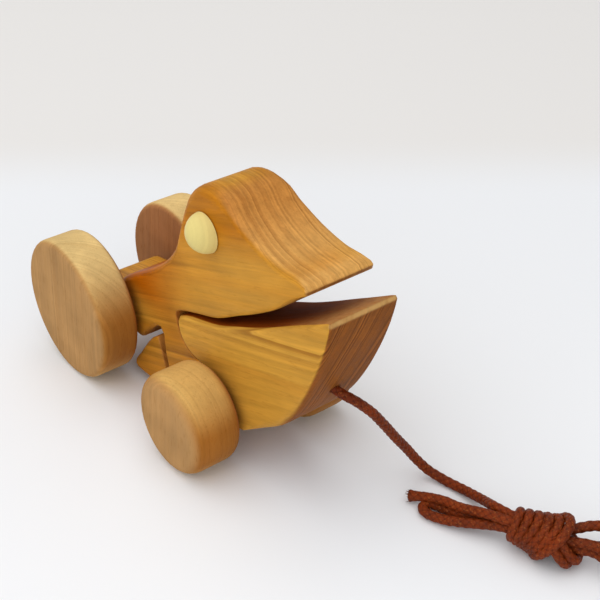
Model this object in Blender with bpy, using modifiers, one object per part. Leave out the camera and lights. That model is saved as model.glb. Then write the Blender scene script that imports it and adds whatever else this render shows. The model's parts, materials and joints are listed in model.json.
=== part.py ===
"""Wooden pull-along frog: a sawn body, a lower jaw that swings, four turned wheels and a waxed cord.

Metres, +Z up. The frog rolls towards +X and +Y is its left. The floor is z = 0, and the origin
lies on it under the middle of the frog's length. Outlines are drawn from the side, in millimetres
ahead of the rear axle and above the floor.
"""
from math import acos, atan2, ceil, cos, hypot, pi, radians, sin

import bmesh
import bpy
from mathutils import Vector

MM = 0.001

# Board, wheels and axles
BOARD_THICKNESS = 24 * MM
WHEELBASE = 66.2 * MM
REAR_WHEEL_DIAMETER = 50 * MM
REAR_WHEEL_WIDTH = 14.4 * MM
REAR_WHEEL_ROUND = 2.2 * MM
REAR_WHEEL_PLAY = 2.3 * MM
FRONT_WHEEL_DIAMETER = 33.6 * MM
FRONT_WHEEL_WIDTH = 18.4 * MM
FRONT_WHEEL_ROUND = 4.6 * MM
FRONT_WHEEL_PLAY = 1.4 * MM
REAR_AXLE_DIAMETER = 6 * MM
FRONT_AXLE_DIAMETER = 8 * MM
REAR_AXLE_SEAT = 9 * MM
FRONT_AXLE_SEAT = 11 * MM
REAR_BOSS_RADIUS = 6.5 * MM
FRONT_BOSS_RADIUS = 10 * MM

# Jaw hinge
HINGE_X = 55.5 * MM
HINGE_Z = 38.3 * MM
KNUCKLE_RADIUS = 10 * MM
JAW_HEEL_ANGLE = radians(-10)
JAW_PIN_DIAMETER = 5 * MM
JAW_PIN_COVER = 3.5 * MM
TONGUE_THICKNESS = 8 * MM
TONGUE_RADIUS = 7.5 * MM
TONGUE_ROOT = 16 * MM

# Eyes
EYE_X = 64.5 * MM
EYE_Z = 78 * MM
EYE_DIAMETER = 12.8 * MM
EYE_HEIGHT = 5.8 * MM
EYE_PEG_DIAMETER = 5 * MM
EYE_PEG_LENGTH = 6 * MM

# Clearances
GLUE_GAP = 0.3 * MM
TURNING_GAP = 0.4 * MM
JAW_GAP = 0.4 * MM

# Rounded edges of the sawn boards
HEAD_ROUND = 3.4 * MM
BODY_ROUND = 2.4 * MM
JAW_ROUND = 1.8 * MM
LIP_ROUND = 0.6 * MM
SEAM_ROUND = 0.4 * MM
ROUND_SEGMENTS = 3
CORNER_STRETCH = 1.3

# Cord
CORD_DIAMETER = 3 * MM
CORD_HOLE_X = 108.9 * MM
CORD_HOLE_Z = 42.0 * MM
CORD_HOLE_PITCH = radians(-30.5)
CORD_HOLE_DEPTH = 14 * MM
CORD_SPACING = 2.4
CORD_FLOOR_GAP = 0.3 * MM
CORD_JOINT_HEIGHT = 8 * MM

# Hank of folded cord, laid out along a gently bent centre line on the floor
HANK_X = 166.9 * MM
HANK_Y = 33.55 * MM
HANK_HEADING = radians(28)
HANK_BEND_RADIUS = 110 * MM
HANK_LEFT_REACH = 39.5 * MM
HANK_END_REACH = 48.5 * MM
HANK_LOW_REACH = 46 * MM
HANK_TOP_REACH = 44 * MM
LEAD_BACK = 7.5 * MM
LEAD_ASIDE = 1.4 * MM
LEAD_DROP = 0.3 * MM
UPPER_DELAY = 5 * MM
LEFT_FOLD = 5.8 * MM
FOLD_RADIUS = 9 * MM
STRAND_GAP = 0.55 * MM

# Knot round the waist of the hank
KNOT_TURNS = 4
KNOT_PITCH = 3.85 * MM
KNOT_LEAN = 0.3
TURN_POINTS = 24

ARC_STEP = radians(12)
OUTLINE_STEP = 3.2 * MM
WHEEL_STEPS = 48
ROD_SIDES = 32

HONEY_WOOD = (0.62, 0.33, 0.10)
PALE_WOOD = (0.66, 0.45, 0.24)
DOWEL_WOOD = (0.68, 0.50, 0.30)
EYE_WOOD = (0.86, 0.74, 0.42)
CORD_BROWN = (0.23, 0.06, 0.02)

# Sizes that follow from the ones above
HALF_BOARD = BOARD_THICKNESS / 2
REAR_AXLE_Z = REAR_WHEEL_DIAMETER / 2
FRONT_AXLE_Z = FRONT_WHEEL_DIAMETER / 2
HINGE = (HINGE_X, HINGE_Z)
REAR_AXLE = (0.0, REAR_AXLE_Z)
FRONT_AXLE = (WHEELBASE, FRONT_AXLE_Z)
CORD_RADIUS = CORD_DIAMETER / 2
KNOT_RADIUS = (CORD_DIAMETER + STRAND_GAP) * 0.7072 + CORD_DIAMETER + JAW_GAP
KNOT_Z = KNOT_RADIUS + CORD_RADIUS + CORD_FLOOR_GAP
HALF_STRAND_STEP = (CORD_DIAMETER + STRAND_GAP) / 2
WAIST_LOW = KNOT_Z - HALF_STRAND_STEP
WAIST_HIGH = KNOT_Z + HALF_STRAND_STEP
HALF_WAIST = KNOT_TURNS * KNOT_PITCH / 2 + CORD_RADIUS + KNOT_LEAN * KNOT_RADIUS
FLOOR_LAYER = CORD_RADIUS + CORD_FLOOR_GAP
SECOND_LAYER = FLOOR_LAYER + CORD_DIAMETER + STRAND_GAP

# Side view of the frog, in millimetres: runs of points that a smooth curve goes through
NECK_UNDERSIDE = [(20.7, 17.7), (27.0, 24.2), (31.4, 27.6), (34.2, 28.2), (35.7, 26.6)]
SLIT = [(35.9, 25.0), (37.0, 20.0), (38.2, 14.6), (37.9, 12.5), (36.3, 12.5), (35.5, 14.6), (34.2, 19.6),
        (33.0, 23.0), (31.8, 24.0)]
HEEL = [(27.0, 20.6), (22.9, 16.0), (18.6, 10.2), (15.3, 6.2), (15.1, 4.0), (16.8, 2.8)]
HEEL_SOLE = [(20.0, 2.7), (40.0, 3.6)]
MOUTH_CORNER = [(44.7, 38.6), (45.0, 40.4), (46.8, 41.7)]
UPPER_LIP = [(51.0, 43.4), (57.9, 45.6), (67.6, 49.2), (77.2, 54.9), (86.8, 60.5), (96.4, 67.0), (105.0, 74.6)]
SNOUT_TIP = [(108.6, 77.3), (110.6, 78.6), (111.0, 80.0), (109.9, 81.2)]
SNOUT_TOP = [(106.5, 81.7), (98.3, 82.3), (88.9, 84.3), (79.4, 88.0)]
HEAD_TOP = [(74.8, 90.9), (68.0, 92.2), (60.0, 90.8), (55.0, 86.2)]
NAPE = [(52.5, 81.2), (49.5, 73.5), (45.5, 63.8), (38.7, 56.0), (28.8, 48.5), (13.0, 38.4),
        (7.0, 33.0)]
LOWER_LIP = [(115.3, 72.2), (106.0, 67.0), (96.4, 61.4), (86.8, 56.1), (77.2, 51.5), (67.6, 47.0), (57.9, 43.9)]
KNUCKLE_TOP = [(53.0, 42.6), (49.6, 41.4), (46.4, 39.6)]
JAW_HEEL = [(77.4, 13.6), (79.2, 13.8)]
JAW_BELLY = [(86.7, 18.8), (96.4, 25.6), (100.7, 30.1), (105.4, 36.0)]
JAW_FRONT = [(110.2, 44.2), (114.0, 52.0), (116.8, 58.4), (119.2, 65.5)]
JAW_TIP = [(120.6, 71.6), (120.9, 73.8), (120.2, 74.8), (118.8, 74.2)]

# Cord from the jaw to the hank, in millimetres: x ahead of the rear axle, y to the left, z above the floor
CORD_ROUTE = [(115.0, 3.0, 37.6), (116.3, 7.5, 33.6), (116.8, 12.5, 27.6), (116.9, 17.5, 20.6),
              (116.9, 22.5, 13.2), (117.6, 26.6, 7.0), (119.9, 29.2, 3.3), (124.4, 30.9, 1.9),
              (133.8, 32.6, 3.2), (141.6, 31.6, 6.6)]


def in_metres(points):
    """Turn points in millimetres into tuples in metres."""
    return [tuple(value * MM for value in point) for point in points]


def arc(centre, radius, start, end):
    """Points on an arc from one angle to another, in radians."""
    count = max(2, ceil(abs(end - start) / ARC_STEP))
    angles = [start + (end - start) * step / count for step in range(count + 1)]
    return [(centre[0] + radius * cos(angle), centre[1] + radius * sin(angle)) for angle in angles]


def smooth(points, spacing):
    """Points about one spacing apart on a smooth curve through the given points."""
    knots = [Vector(point) for point in points]
    before = knots[0] * 2 - knots[1]
    after = knots[-1] * 2 - knots[-2]
    padded = [before] + knots + [after]
    result = []
    for first, start, end, last in zip(padded, padded[1:], padded[2:], padded[3:]):
        count = max(1, round((end - start).length / spacing))
        for step in range(count):
            share = step / count
            result.append(catmull_rom(first, start, end, last, share))
    result.append(knots[-1])
    return [tuple(point) for point in result]


def catmull_rom(first, start, end, last, share):
    """A point between start and end on the curve through four points."""
    slope_start = (end - first) / 2
    slope_end = (last - start) / 2
    square = share * share
    cube = square * share
    return (start * (2 * cube - 3 * square + 1) + slope_start * (cube - 2 * square + share)
            + end * (3 * square - 2 * cube) + slope_end * (cube - square))


def tangent_angle(centre, radius, point, side):
    """Angle on a circle where a line from an outside point touches it, on the side +1 or -1."""
    away_x = point[0] - centre[0]
    away_z = point[1] - centre[1]
    return atan2(away_z, away_x) + side * acos(radius / hypot(away_x, away_z))


def seat_angle(boss_radius, seat_radius):
    """Angle on the front boss where the straight line that also touches the knuckle's circle begins."""
    away_x = HINGE_X - WHEELBASE
    away_z = HINGE_Z - FRONT_AXLE_Z
    return atan2(away_z, away_x) - acos((boss_radius + seat_radius) / hypot(away_x, away_z))


def smooth_runs(*runs):
    """One smooth stretch of outline through runs of points in millimetres, each with its edge rounding."""
    marked = []
    for points, edge_round in runs:
        marked += [(*point, edge_round) for point in in_metres(points)]
    return smooth(marked, OUTLINE_STEP)


def round_run(centre, radius, start, end, edge_round):
    """A stretch of outline along an arc, with its edge rounding."""
    return [(*point, edge_round) for point in arc(centre, radius, start, end)]


def angle_of(point, centre):
    """Direction of a point from a centre, between 0 and a full turn."""
    return atan2(point[1] - centre[1], point[0] - centre[0]) % (2 * pi)


def body_outline():
    """Outline of the body, from the rear boss round the heel, leg, mouth and head."""
    neck_foot = in_metres(NECK_UNDERSIDE)[0]
    nape_foot = in_metres(NAPE)[-1]
    sole_end = in_metres(HEEL_SOLE)[-1]
    over = tangent_angle(REAR_AXLE, REAR_BOSS_RADIUS, nape_foot, 1)
    under = tangent_angle(REAR_AXLE, REAR_BOSS_RADIUS, neck_foot, -1) + 2 * pi
    boss_start = tangent_angle(FRONT_AXLE, FRONT_BOSS_RADIUS, sole_end, 1)
    seat_radius = KNUCKLE_RADIUS + JAW_GAP
    boss_end = seat_angle(FRONT_BOSS_RADIUS, seat_radius)
    outline = round_run(REAR_AXLE, REAR_BOSS_RADIUS, over, under, JAW_ROUND)
    outline += smooth_runs((NECK_UNDERSIDE, BODY_ROUND), (SLIT, SEAM_ROUND), (HEEL, JAW_ROUND),
                           (HEEL_SOLE, JAW_ROUND))
    outline += round_run(FRONT_AXLE, FRONT_BOSS_RADIUS, boss_start, boss_end, SEAM_ROUND)
    outline += round_run(HINGE, seat_radius, boss_end + pi, pi + ARC_STEP / 2, SEAM_ROUND)
    outline += smooth_runs((MOUTH_CORNER, SEAM_ROUND), (UPPER_LIP, JAW_ROUND), (SNOUT_TIP, LIP_ROUND),
                           (SNOUT_TOP, BODY_ROUND), (HEAD_TOP, HEAD_ROUND), (NAPE, BODY_ROUND))
    return outline


def jaw_outline():
    """Outline of the lower jaw, from the lip back over the knuckle, round the leg and along the belly."""
    clear_radius = FRONT_BOSS_RADIUS + JAW_GAP
    boss_top = seat_angle(clear_radius, KNUCKLE_RADIUS)
    knuckle_start = angle_of(in_metres(KNUCKLE_TOP)[-1], HINGE) + ARC_STEP
    outline = smooth_runs((LOWER_LIP, JAW_ROUND), (KNUCKLE_TOP, JAW_ROUND))
    outline += round_run(HINGE, KNUCKLE_RADIUS, knuckle_start, boss_top + pi, SEAM_ROUND)
    outline += round_run(FRONT_AXLE, clear_radius, boss_top, JAW_HEEL_ANGLE, SEAM_ROUND)
    outline += smooth_runs((JAW_HEEL, LIP_ROUND), (JAW_BELLY, BODY_ROUND), (JAW_FRONT, JAW_ROUND),
                           (JAW_TIP, LIP_ROUND))
    return outline


def new_collection(name):
    """A collection of its own in the scene."""
    collection = bpy.data.collections.new(name)
    bpy.context.scene.collection.children.link(collection)
    return collection


def new_material(name, colour, roughness):
    """A plain material with the piece's colour and sheen."""
    material = bpy.data.materials.new(name)
    material.use_nodes = True
    shader = material.node_tree.nodes["Principled BSDF"]
    shader.inputs["Base Color"].default_value = (*colour, 1.0)
    shader.inputs["Roughness"].default_value = roughness
    shader.inputs["Metallic"].default_value = 0.0
    return material


def new_empty(name, location, parent, collection):
    """An empty that carries pieces, such as a joint's axis."""
    empty = bpy.data.objects.new(name, None)
    empty.location = location
    empty.parent = parent
    collection.objects.link(empty)
    return empty


def new_object(name, data, collection, parent):
    """An object in a collection, carried by its parent."""
    thing = bpy.data.objects.new(name, data)
    thing.parent = parent
    collection.objects.link(thing)
    return thing


def make_cutter(thing):
    """Mark an object as a tool that shapes others and isn't a piece itself."""
    thing.hide_render = True
    thing.display_type = "WIRE"
    return thing


def solid_from_curve(curve_object):
    """Replace a filled curve by a closed mesh with flat n-gon sides."""
    graph = bpy.context.evaluated_depsgraph_get()
    mesh = bpy.data.meshes.new_from_object(curve_object.evaluated_get(graph))
    work = bmesh.new()
    work.from_mesh(mesh)
    bmesh.ops.remove_doubles(work, verts=work.verts, dist=0.00001)
    bmesh.ops.dissolve_limit(work, angle_limit=radians(0.05), verts=work.verts, edges=work.edges)
    bmesh.ops.recalc_face_normals(work, faces=work.faces)
    work.to_mesh(mesh)
    work.free()
    solid = bpy.data.objects.new(curve_object.name + ".solid", mesh)
    solid.matrix_world = curve_object.matrix_world
    bpy.data.objects.remove(curve_object)
    return solid


def flat_board(name, outline, thickness, collection, parent, offset):
    """A board of the given thickness, cut to an outline in the X-Z plane."""
    curve = bpy.data.curves.new(name, "CURVE")
    curve.dimensions = "2D"
    curve.fill_mode = "BOTH"
    curve.extrude = thickness / 2
    spline = curve.splines.new("POLY")
    spline.points.add(len(outline) - 1)
    for spot, point in zip(spline.points, outline):
        spot.co = (point[0], point[1], 0.0, 1.0)
    spline.use_cyclic_u = True
    drawn = bpy.data.objects.new(name, curve)
    drawn.rotation_euler = (pi / 2, 0, 0)
    collection.objects.link(drawn)
    bpy.context.view_layer.update()
    board = solid_from_curve(drawn)
    board.name = name
    collection.objects.link(board)
    board.parent = parent
    board.location = offset
    return board


def eased_rounds(outline):
    """Edge rounding at each point of an outline, blended where stretches meet."""
    rounds = [point[2] for point in outline]
    reach = range(-2, 3)
    count = len(rounds)
    return [sum(rounds[(place + step) % count] for step in reach) / len(reach) for place in range(count)]


def inward_normals(outline):
    """Direction into the wood at each point of an outline drawn counterclockwise, longer at corners."""
    spots = [Vector(point[:2]) for point in outline]
    normals = []
    for before, here, after in zip(spots[-1:] + spots, spots, spots[1:] + spots[:1]):
        arriving = (here - before).normalized()
        leaving = (after - here).normalized()
        along = (arriving + leaving).normalized()
        stretch = min(1 / max(along.dot(arriving), 0.1), CORNER_STRETCH)
        normals.append(Vector((-along.y, along.x)) * stretch)
    return normals


def sawn_board(name, outline, collection, parent, offset):
    """A sawn board with both edges rounded over, each point of its outline with its own radius."""
    normals = inward_normals(outline)
    rounds = eased_rounds(outline)
    quarter = [pi / 2 * step / ROUND_SEGMENTS for step in range(ROUND_SEGMENTS + 1)]
    levels = [(turn, 1) for turn in quarter] + [(turn, -1) for turn in reversed(quarter)]
    work = bmesh.new()
    rings = []
    for turn, side in levels:
        ring = []
        for point, normal, radius in zip(outline, normals, rounds):
            inset = normal * radius * (1 - sin(turn))
            depth = HALF_BOARD - radius * (1 - cos(turn))
            ring.append(work.verts.new((point[0] + inset.x, side * depth, point[1] + inset.y)))
        rings.append(ring)
    work.faces.new(rings[0])
    work.faces.new(rings[-1][::-1])
    for ring, following in zip(rings, rings[1:]):
        for number in range(len(outline)):
            work.faces.new((ring[number - 1], ring[number], following[number], following[number - 1]))
    bmesh.ops.recalc_face_normals(work, faces=work.faces)
    mesh = bpy.data.meshes.new(name)
    work.to_mesh(mesh)
    work.free()
    board = new_object(name, mesh, collection, parent)
    board.location = offset
    return board


def rod(name, radius, start_y, end_y, place, collection, parent):
    """A round rod along Y from one side to the other, at a place in the parent's X-Z plane."""
    work = bmesh.new()
    bmesh.ops.create_cone(work, cap_ends=True, segments=ROD_SIDES, radius1=radius, radius2=radius,
                          depth=abs(end_y - start_y))
    mesh = bpy.data.meshes.new(name)
    work.to_mesh(mesh)
    work.free()
    piece = new_object(name, mesh, collection, parent)
    piece.location = (place[0], (start_y + end_y) / 2, place[1])
    piece.rotation_euler = (pi / 2, 0, 0)
    return piece


def boolean(target, tool, operation):
    """Cut a tool out of a piece, or join it on."""
    modifier = target.modifiers.new(operation.lower() + " " + tool.name, "BOOLEAN")
    modifier.operation = operation
    modifier.solver = "EXACT"
    modifier.object = tool


def turned(name, profile, steps, collection, parent):
    """A turned piece: a profile from the top of its axis down its outer side, spun round local Z."""
    mesh = bpy.data.meshes.new(name)
    lines = [(number, number + 1) for number in range(len(profile) - 1)]
    mesh.from_pydata([(radius, 0.0, height) for radius, height in profile], lines, [])
    piece = new_object(name, mesh, collection, parent)
    spin = piece.modifiers.new("turning", "SCREW")
    spin.steps = steps
    spin.render_steps = steps
    spin.use_merge_vertices = True
    spin.merge_threshold = 0.00001
    return piece


def smooth_shading(thing):
    """Shade the round faces of a piece smoothly."""
    if thing.type == "MESH":
        thing.data.shade_smooth()


def tube(name, points, resolution, collection, parent):
    """A round cord along a row of points, with closed ends."""
    curve = bpy.data.curves.new(name, "CURVE")
    curve.dimensions = "3D"
    curve.bevel_depth = CORD_RADIUS
    curve.bevel_resolution = resolution
    curve.use_fill_caps = True
    spline = curve.splines.new("POLY")
    spline.points.add(len(points) - 1)
    for place, point in zip(spline.points, points):
        place.co = (*point, 1.0)
    return new_object(name, curve, collection, parent)


def wheel_profile(diameter, width, edge, axle_diameter, seat):
    """Half section of a wheel with rounded edges and a blind hole for the axle in its inner face."""
    radius = diameter / 2
    half = width / 2
    hole = axle_diameter / 2 + GLUE_GAP
    outer = arc((radius - edge, half - edge), edge, pi / 2, 0)
    inner = arc((radius - edge, edge - half), edge, 0, -pi / 2)
    return [(0, half)] + outer + inner + [(hole, -half), (hole, seat - half), (0, seat - half)]


def wheel_set(label, diameter, width, edge, play, axle_diameter, seat, carrier, collection):
    """Two wheels glued on one axle, on the carrier empty at the middle of the axle."""
    profile = wheel_profile(diameter, width, edge, axle_diameter, seat)
    inner_face = HALF_BOARD + play
    for side, sign in (("left", 1), ("right", -1)):
        wheel = turned(f"{label}_wheel_{side}", profile, WHEEL_STEPS, collection, carrier)
        wheel.location = (0, sign * (inner_face + width / 2), 0)
        wheel.rotation_euler = (-sign * pi / 2, 0, 0)
        wheel.data.materials.append(new_material(wheel.name, PALE_WOOD, 0.55))
    half_axle = inner_face + seat - GLUE_GAP
    axle = rod(f"{label}_axle", axle_diameter / 2, -half_axle, half_axle, (0, 0), collection, carrier)
    axle.data.materials.append(new_material(axle.name, DOWEL_WOOD, 0.6))


def axle_bore(label, target, axle_diameter, place, tools, parent):
    """Cut the hole that an axle turns in."""
    past = HALF_BOARD * 1.2
    bore = make_cutter(rod(f"{label}_bore", axle_diameter / 2 + TURNING_GAP, -past, past, place, tools, parent))
    boolean(target, bore, "DIFFERENCE")


def eye_profile():
    """Half section of an eye: a domed button on a peg."""
    radius = EYE_DIAMETER / 2
    ball = (radius * radius + EYE_HEIGHT * EYE_HEIGHT) / (2 * EYE_HEIGHT)
    rim = acos(radius / ball) if EYE_HEIGHT <= radius else -acos(radius / ball)
    dome = arc((0, EYE_HEIGHT - ball), ball, pi / 2, rim)
    peg = EYE_PEG_DIAMETER / 2
    return dome + [(peg, 0), (peg, -EYE_PEG_LENGTH), (0, -EYE_PEG_LENGTH)]


def add_eyes(body, frog, collection, tools):
    """Two eyes, each with its peg in a blind hole in the head."""
    for side, sign in (("left", 1), ("right", -1)):
        eye = turned(f"eye_{side}", eye_profile(), ROD_SIDES, collection, frog)
        eye.location = (EYE_X, sign * (HALF_BOARD + GLUE_GAP), EYE_Z)
        eye.rotation_euler = (-sign * pi / 2, 0, 0)
        eye.data.materials.append(new_material(eye.name, EYE_WOOD, 0.4))
        depth = HALF_BOARD - EYE_PEG_LENGTH
        hole = rod(f"eye_hole_{side}", EYE_PEG_DIAMETER / 2 + GLUE_GAP, sign * depth, sign * HALF_BOARD * 1.2,
                   (EYE_X, EYE_Z), tools, frog)
        boolean(body, make_cutter(hole), "DIFFERENCE")


def tongue_outline():
    """A tab round the jaw pin, with a root that runs back and down into the leg."""
    heading = atan2(FRONT_AXLE_Z - HINGE_Z, -TONGUE_ROOT)
    root = (HINGE_X + TONGUE_ROOT * cos(heading), HINGE_Z + TONGUE_ROOT * sin(heading))
    tip = arc(HINGE, TONGUE_RADIUS, heading + pi * 1.5, heading + pi / 2)
    return tip + arc(root, TONGUE_RADIUS, heading + pi / 2, heading - pi / 2)


def add_body(frog, collection, tools):
    """The body: head, neck, leg and heel in one board, with the tongue that the jaw swings on."""
    body = sawn_board("frog_body", body_outline(), collection, frog, (0, 0, 0))
    tongue = flat_board("tongue", tongue_outline(), TONGUE_THICKNESS, tools, frog, (0, 0, 0))
    boolean(body, make_cutter(tongue), "UNION")
    past = TONGUE_THICKNESS
    pin_hole = rod("tongue_bore", JAW_PIN_DIAMETER / 2 + TURNING_GAP, -past, past, HINGE, tools, frog)
    boolean(body, make_cutter(pin_hole), "DIFFERENCE")
    axle_bore("rear", body, REAR_AXLE_DIAMETER, REAR_AXLE, tools, frog)
    axle_bore("front", body, FRONT_AXLE_DIAMETER, FRONT_AXLE, tools, frog)
    add_eyes(body, frog, collection, tools)
    body.data.materials.append(new_material("frog_body", HONEY_WOOD, 0.45))


def add_jaw(hinge, collection, tools):
    """The lower jaw: two cheeks round the tongue, on a pin let in from the left."""
    offset = (-HINGE_X, 0, -HINGE_Z)
    jaw = sawn_board("lower_jaw", jaw_outline(), collection, hinge, offset)
    half_slot = TONGUE_THICKNESS / 2 + JAW_GAP
    slot_front = TONGUE_RADIUS + JAW_GAP
    tall = KNUCKLE_RADIUS * 2
    slot_sides = [(slot_front, -tall), (slot_front, tall), (-tall, tall), (-tall, -tall)]
    slot = flat_board("jaw_slot", slot_sides, half_slot * 2, tools, hinge, (0, 0, 0))
    boolean(jaw, make_cutter(slot), "DIFFERENCE")
    pin_end = JAW_PIN_COVER - HALF_BOARD
    pin_hole = rod("jaw_pin_hole", JAW_PIN_DIAMETER / 2 + GLUE_GAP, pin_end - GLUE_GAP, HALF_BOARD * 1.2, (0, 0),
                   tools, hinge)
    boolean(jaw, make_cutter(pin_hole), "DIFFERENCE")
    cord_hole = rod("cord_hole", CORD_RADIUS + GLUE_GAP, -CORD_HOLE_DEPTH, CORD_HOLE_DEPTH, (0, 0), tools, hinge)
    cord_hole.location = (CORD_HOLE_X - HINGE_X, 0, CORD_HOLE_Z - HINGE_Z)
    cord_hole.rotation_euler = (0, pi / 2 - CORD_HOLE_PITCH, 0)
    boolean(jaw, make_cutter(cord_hole), "DIFFERENCE")
    jaw.data.materials.append(new_material("lower_jaw", HONEY_WOOD, 0.45))
    pin = rod("jaw_pin", JAW_PIN_DIAMETER / 2, pin_end, HALF_BOARD - GLUE_GAP, (0, 0), collection, hinge)
    pin.data.materials.append(new_material("jaw_pin", DOWEL_WOOD, 0.6))


def hank_point(along, across, up):
    """A place on the hank, given along its bent centre line, to its left and above the floor."""
    heading = HANK_HEADING + along / HANK_BEND_RADIUS
    centre_x = HANK_X + HANK_BEND_RADIUS * (sin(heading) - sin(HANK_HEADING))
    centre_y = HANK_Y - HANK_BEND_RADIUS * (cos(heading) - cos(HANK_HEADING))
    return (centre_x - across * sin(heading), centre_y + across * cos(heading), up)


def run_out(end, slot, spread, layer):
    """A strand from the waist towards one end of the hank, spreading and settling as it goes."""
    steps = 5
    start = HALF_WAIST if slot[1] < KNOT_Z else HALF_WAIST + UPPER_DELAY
    start = start if end > 0 else -start
    points = []
    for step in range(steps + 1):
        share = step / steps
        ease = share * share * (3 - 2 * share)
        across = slot[0] + (spread - slot[0]) * ease
        up = slot[1] + (layer - slot[1]) * ease
        points.append((start + (end - start) * share, across, up))
    return points


def through_waist(slot, way):
    """A strand's pass through the knot, to the right for way 1 and to the left for way -1."""
    return [(way * share * HALF_WAIST, *slot) for share in (-0.7, 0, 0.7)]


def fold(end, first, second, layer):
    """The round turn at one end of the hank, from one strand to the next."""
    middle = (first + second) / 2
    radius = (first - second) / 2
    bulge = abs(radius) if end > 0 else -abs(radius)
    steps = 7
    turns = [pi * step / steps for step in range(1, steps)]
    return [(end + bulge * sin(turn), middle + radius * cos(turn), layer) for turn in turns]


def hank_path():
    """Centre line of the folded cord: four strands through the waist, a fold left and two right."""
    step = HALF_STRAND_STEP
    first = (step, WAIST_HIGH)
    second = (-step, WAIST_HIGH)
    third = (-step, WAIST_LOW)
    fourth = (step, WAIST_LOW)
    wide = FOLD_RADIUS
    narrow = FOLD_RADIUS - CORD_RADIUS / 3
    top_end = HANK_TOP_REACH - narrow
    low_end = HANK_LOW_REACH - wide
    left_end = -HANK_LEFT_REACH + LEFT_FOLD / 2
    left_far = -1.13 * CORD_DIAMETER
    left_near = left_far - LEFT_FOLD
    entry = Vector((-HALF_WAIST, *first))
    lead = Vector((-LEAD_BACK, LEAD_ASIDE, -LEAD_DROP))
    straight = lead.normalized() * CORD_DIAMETER
    path = [tuple(entry + lead), tuple(entry + lead - straight), tuple(entry)]
    path += through_waist(first, 1)
    path += run_out(top_end, first, narrow, SECOND_LAYER)
    path += fold(top_end, narrow, -narrow, SECOND_LAYER)
    path += run_out(top_end, second, -narrow, SECOND_LAYER)[::-1]
    path += through_waist(second, -1)
    path += run_out(left_end, second, left_near, FLOOR_LAYER)
    path += fold(left_end, left_near, left_far, FLOOR_LAYER)
    path += run_out(left_end, third, left_far, FLOOR_LAYER)[::-1]
    path += through_waist(third, 1)
    path += run_out(low_end, third, -wide, FLOOR_LAYER)
    path += fold(low_end, -wide, wide, FLOOR_LAYER)
    path += run_out(low_end, fourth, wide, FLOOR_LAYER)[::-1]
    path += through_waist(fourth, -1)
    path += run_out(-HANK_END_REACH, fourth, -0.1 * CORD_DIAMETER, FLOOR_LAYER)
    return [hank_point(*point) for point in path]


def knot_path():
    """Centre line of the turns of cord round the waist, leaning like a knot's."""
    points = []
    for number in range(KNOT_TURNS * TURN_POINTS + 1):
        turn = number / TURN_POINTS
        angle = 2 * pi * turn
        up = KNOT_RADIUS * cos(angle)
        along = (turn - KNOT_TURNS / 2) * KNOT_PITCH - KNOT_LEAN * up
        points.append(hank_point(along, KNOT_RADIUS * sin(angle), KNOT_Z + up))
    return points


def cord_path(hank):
    """Centre line of the whole cord, from its hole in the jaw along the floor and through the hank."""
    out = Vector((cos(CORD_HOLE_PITCH), 0, sin(CORD_HOLE_PITCH)))
    mouth = Vector((CORD_HOLE_X, 0, CORD_HOLE_Z))
    inner_end = mouth - out * (CORD_HOLE_DEPTH - GLUE_GAP)
    meeting = Vector(hank[0])
    towards = (Vector(hank[1]) - meeting).normalized()
    route = [mouth, mouth + out * CORD_DIAMETER]
    route += [Vector(point) for point in in_metres(CORD_ROUTE)]
    route += [meeting - towards * CORD_DIAMETER, meeting]
    return [tuple(inner_end)] + smooth(route, CORD_SPACING * CORD_DIAMETER) + hank[1:]


def parted(points):
    """The cord in two, where it first comes down near the floor: what the jaw lifts and what stays lying."""
    number = next(place for place, point in enumerate(points) if point[2] < CORD_JOINT_HEIGHT)
    above = Vector(points[number - 1])
    below = Vector(points[number])
    joint = above.lerp(below, (above.z - CORD_JOINT_HEIGHT) / (above.z - below.z))
    half_gap = (below - above).normalized() * GLUE_GAP / 2
    lifted = points[:number] + [tuple(joint - half_gap)]
    lying = [tuple(joint + half_gap)] + points[number:]
    return lifted, lying


def least_gap(points):
    """Least clear distance between two stretches of a cord that don't follow each other."""
    spots = []
    travel = []
    passed = 0.0
    for start, end in zip(points, points[1:]):
        span = (Vector(end) - Vector(start)).length
        count = ceil(span / (CORD_DIAMETER / 3))
        for step in range(count):
            spots.append(Vector(start).lerp(Vector(end), step / count))
            travel.append(passed + span * step / count)
        passed += span
    apart = 2.5 * CORD_DIAMETER
    pairs = ((first, second) for second in range(len(spots)) for first in range(second))
    gaps = [(spots[second] - spots[first]).length for first, second in pairs
            if travel[second] - travel[first] > apart]
    return min(gaps) - CORD_DIAMETER


def length_of(points):
    """Length along a row of points."""
    return sum((Vector(end) - Vector(start)).length for start, end in zip(points, points[1:]))


def add_cord(frog, hinge, collection):
    """The cord in three stretches: free run, folded hank and the knot round it."""
    offset = (-HINGE_X, 0, -HINGE_Z)
    run, hank = parted(cord_path(hank_path()))
    knot = knot_path()
    for name, points, resolution, carrier in (("pull_cord", run, 2, hinge), ("cord_hank", hank, 1, frog),
                                              ("cord_knot", knot, 1, frog)):
        cord = tube(name, points, resolution, collection, carrier)
        cord.location = offset if carrier is hinge else (0, 0, 0)
        cord.data.materials.append(new_material(name, CORD_BROWN, 0.6))
        print(f"{name}: {length_of(points) / MM:.0f} mm long, least gap to itself {least_gap(points) / MM:.2f} mm")


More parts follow.
